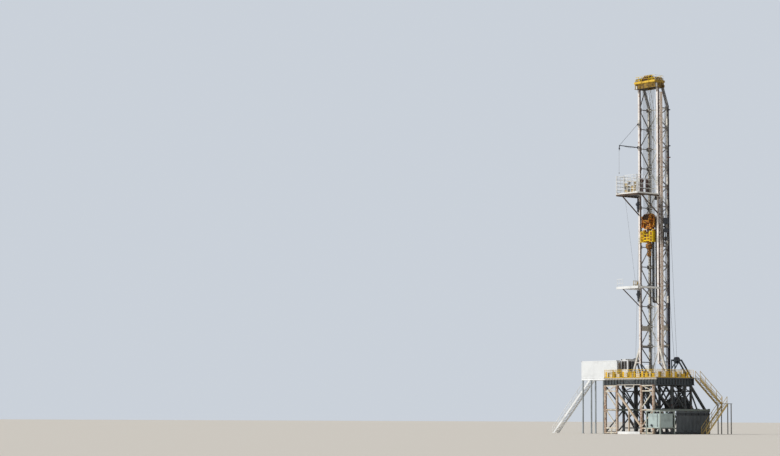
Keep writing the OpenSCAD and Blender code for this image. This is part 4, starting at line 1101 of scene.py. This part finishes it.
def tank_ironwork():
    """Hoops, hatch, nozzles and level gauge of the trip tank.

    A hoop is a ring of quads between the tank's rounded outline and the same outline drawn in by 2.5 %.
    """
    axis = np.array([590, -410, 0])
    quarter = np.linspace(0, 90, 7)
    corners = ((674, -316, 0), (506, -316, 90), (506, -504, 180), (674, -504, 270))
    loop = np.concatenate([arc((x, y, 0), 37.5, "z", np.radians(quarter + turn)) for x, y, turn in corners])
    inner = axis + (loop - axis) * 0.975
    green = []
    for z in (-640, -580, -520):
        low, high = [0, 0, z], [0, 0, z + 4]
        hoop = np.stack([loop + low, loop + high, inner + high, inner + low], 1)
        green.append((hoop.reshape(-1, 3), [ring_faces(len(loop), 4, closed=True)]))
    green += [rods(640, -360, (TANK_LID, TANK_LID + 10), 52, sides=24),
              rods(520, -470, (TANK_LID, TANK_LID + 22), 20, sides=16),
              rods(560, (-548, -538), -640, 26, sides=16)]
    dark = [rods(660, -545, (-652, -500), 5, sides=8), boxes([8, 7, 6], 656, -547, [-656, -500]),
            rods(560, (-552, -548), -640, 34, sides=16)]
    put("tank_ironwork", green, GREEN)
    put("tank_gauge", dark, DARK)
    put("tank_bolts", [bolts(ring_of(10, 22, (640, -360, TANK_LID + 10), "z"), (0, 0, 1), 4, 2)], STEEL)


def drawworks_ironwork():
    """Bands round the drum hood, lids and louvres of the motor boxes, lifting eyes and bolts."""
    lids = np.array([-176, -138, 104, 142])
    dark = [bent_plate((0, 540, -318), 85, 88, x, x + 8, 2, 178, 17) for x in (-100, -60, -20, 20, 60, 92)]
    dark += [boxes([32, 2, 96], lids, 463, -396), boxes([20, 2, 4], lids + 6, 461.5, np.arange(-386, -310, 10)),
             both_sides(slabs((108, 500, -288, 114, 520, -270)))]
    heads = bolts(spread(sums(lids, [4, 28]), 463, [-390, -348, -306]), (0, -1, 0), 3.6)
    put("drawworks_ironwork", dark, DARK)
    put("drawworks_bolts", [heads], STEEL)


# Houses


def doghouse_cladding():
    """Upright ribs of the sheet cladding, corner and roof trims, and flanges of the skid beam."""
    left = -1198
    shapes = [boxes([5, 1.6, 220], np.arange(-1189, -508, 11.5), [-136.6, 135], 14),
              boxes([1.6, 5, 220], -1196.6, np.r_[-128:16:11.5, 110:128:11.5], 14),
              boxes([1.6, 5, 220], -500, np.arange(-4, 126, 11.5), 14),
              boxes([8, 8, 266], [left, -505], [-138, 130], -20),
              boxes([701, 4, 11], left, [-138, 134], 236), boxes([4, 276, 11], [left, -501], -138, 236),
              boxes([701, 4, 5], left, [-139, 135], [-20, 8]),
              boxes([4, 264, 2], np.arange(-1080, -500, 116), -132, 245),
              boxes([5, 4, 207], left - 2, [21, 105], 12), boxes([5, 88, 5], left - 2, 21, 215)]
    put("doghouse_cladding", shapes, HOUSE)


def doghouse_fittings():
    """Handle, hinges, lamps and pane of the doghouse door, with the frame round the pane."""
    metal = [rods(-501, -26, (96, 118), 3.2), boxes([3, 6, 5], -503, -29, [92, 117]),
             rods(-502, -104, ([34, 104, 178], [52, 122, 196]), 5)]
    put("door_fittings", metal, STEEL)
    put("door_pane", [blocks([-502.5, -84, 138], [-501, -40, 196])], GLASS)
    frame_bars = [boxes([2, 52, 4], -502, -88, [134, 196]), boxes([2, 4, 58], -502, [-88, -40], 138)]
    put("door_pane_frame", frame_bars, BEIGE)
    put("doghouse_lamps", [slabs((-1206, 54, 222, -1195, 78, 232), (-500, -66, 220, -490, -44, 230))], DARK)


def cabin_fittings():
    """Window frames and bars of the cabin, its corner posts, eaves, lower panels, ribs and lamps."""
    white = [slabs((-366, -64, 0, -358, -56, 256), (-499, -64, 0, -491, -56, 256), (-366, 86, 0, -358, 94, 256),
                   (-497, -63, 238, -360, -60, 256), (-497, -63, 116, -360, -60, 124),
                   (-365, -62, 238, -359, 92, 256), (-365, -62, 97, -359, 92, 104),
                   (-482, -63, 122, -478, -60, 238), (-378, -63, 122, -374, -60, 238),
                   (-431, -62, 124, -427, -60, 236), (-499, -66, 255, -356, -62, 266),
                   (-499, 90, 255, -356, 96, 266), (-362, -66, 255, -356, 96, 266)),
             boxes([3, 4, 132], -363, [-46, 13, 72], 104),
             boxes([6, 1.5, 104], np.arange(-484, -372, 14), -61.5, 8)]
    dark = [rods((-477, -379), -61.5, [150, 178, 206], 2.4), rods(-361, (-42, 72), [132, 160, 188, 214], 2.4)]
    put("cabin_frames", white, HOUSE)
    put("cabin_window_bars", dark, DARK)
    put("cabin_side_panels", [slabs((-362, -54, 8, -360, 14, 94), (-362, 18, 8, -360, 84, 94))], BROWN)
    put("cabin_lamps", [boxes([20, 10, 9], [-486, -392], -72, 256)], DARK)


def cabinet_fittings():
    """Doors, louvres and handles of the winch cabinet."""
    white = [boxes([44, 2, 172], [-328, -281], 238, 6), boxes([2, 68, 172], -235, 246, 6),
             boxes([32, 2, 3], [-322, -275], 236.5, np.arange(120, 168, 7))]
    put("cabinet_doors", white, HOUSE)
    put("cabinet_handles", [boxes([3, 3, 20], [-290, -278], 235, 84)], STEEL)


# Stairs

LEFT_STEPS = np.arange(1, 38)[:, None] * [-20, 0, -20]
RIGHT_STEP = 430 / 17
RIGHT_STEPS = np.arange(1, 17)[:, None] * [0, RIGHT_STEP, -20]


def on_steps(steps, size, *places):
    """Boxes of one size at every place on every step: a low corner is the step + the place."""
    low = (steps[:, None] + spread(*places)).reshape(-1, 3)
    return blocks(low, low + size)


def stair_fittings():
    """Nosings and grating bars on every tread of both stairs."""
    nosing = [on_steps(LEFT_STEPS, [3, 84, 5], -1215, 23, -4), on_steps(RIGHT_STEPS, [84, 3, 5], 508, 352, -4)]
    grate = [on_steps(LEFT_STEPS, [17, 1.5, 1.2], -1214, np.arange(30, 104, 9), 0),
             on_steps(RIGHT_STEPS, [1.5, 20, 1.2], np.arange(514, 590, 9), 358 - RIGHT_STEP, 0)]
    put("stair_nosings", nosing, YELLOW)
    put("stair_gratings", grate, GREY)


# Raising gear

SHEAVE_HEIGHT = 236


def raising_ironwork():
    """Pins, cross bars and bolts of the A-frames, and foot plates under their posts."""
    dark, heads = [], []
    for frames, y in (((-412, -472), 175), ((412, 472), 65)):
        for x in frames:
            dark += [rods((x - 9, x + 9), y, SHEAVE_HEIGHT, 34, sides=18),
                     slabs((-12, y - 84, 0, 12, y - 56, 5), (-12, 290, 0, 12, 335, 5), at=(x, 0, 0))]
            for out in (-1, 1):
                heads.append(bolts(ring_of(6, 12, (x + 9 * out, y, SHEAVE_HEIGHT), "x"), (out, 0, 0), 4))
            heads.append(bolts(spread([x - 9, x + 9], [y - 80, y - 60, 295, 330], 5), (0, 0, 1), 4))
        dark += [rods(frames, y + 100, 120, 7), rods(frames, y - 70, 100, 7)]
    put("raising_ironwork", dark, NAVY)
    put("raising_bolts", heads, STEEL)


# Stage and light

SKY = tone(201, 208, 217)
STAGE_SIZE = 200000


def stage():
    ground = cad_low[2] / MM
    corners = STAGE_SIZE * np.array([[-1, -1, 0], [1, -1, 0], [1, 1, 0], [-1, 1, 0]]) + [0, 0, ground]
    finish = Finish("stage_floor").done(tone(206, 200, 190), 0.9)
    put("stage_floor", [(corners, [np.array([[0, 1, 2, 3]])])], finish, body=None)


def sky():
    """Even soft light, and a pale background where the camera, a mirror or glass looks past the rig."""
    world = bpy.data.worlds.new("sky")
    bpy.context.scene.world = world
    tree = Tree(world)
    rays = tree.node("ShaderNodeLightPath").outputs
    seen = rays["Is Camera Ray"]
    for kind in ("Is Glossy Ray", "Is Transmission Ray"):
        seen = tree.node("ShaderNodeMath", {"operation": "MAXIMUM"}, {0: seen, 1: rays[kind]}).outputs[0]
    light = tree.node("ShaderNodeBackground", sockets={"Color": (0.93, 0.96, 1), "Strength": 0.34})
    shown = tree.node("ShaderNodeBackground", sockets={"Color": SKY})
    both = tree.node("ShaderNodeMixShader", sockets={0: seen, 1: light.outputs[0], 2: shown.outputs[0]})
    tree.node("ShaderNodeOutputWorld", sockets={"Surface": both.outputs[0]})


def sun():
    data = bpy.data.lights.new("key", "SUN")
    data.energy = 2.9
    data.angle = math.radians(9)
    data.color = (1, 0.98, 0.955)
    key = bpy.data.objects.new("key", data)
    key.rotation_euler = Vector((-0.35, -1.0, 0.95)).to_track_quat("Z", "Y").to_euler()
    bpy.context.scene.collection.objects.link(key)


service_hoses()
paint_nodes()
drilling_line()
line_wraps()
mast_gussets()
leg_splices()
ladder()
crown_ironwork()
crown_guards()
block_ironwork()
drive_ironwork()
handler_ironwork()
board_mesh()
board_gear()
belly_gear()
mast_cabinets()
jib_hook()
floor_edges()
floor_stiffeners()
floor_gear()
base_ironwork()
base_pipes()
tank_ironwork()
drawworks_ironwork()
doghouse_cladding()
doghouse_fittings()
cabin_fittings()
cabinet_fittings()
stair_fittings()
raising_ironwork()
stage()
sky()
sun()
bpy.context.scene.view_settings.view_transform = "Standard"
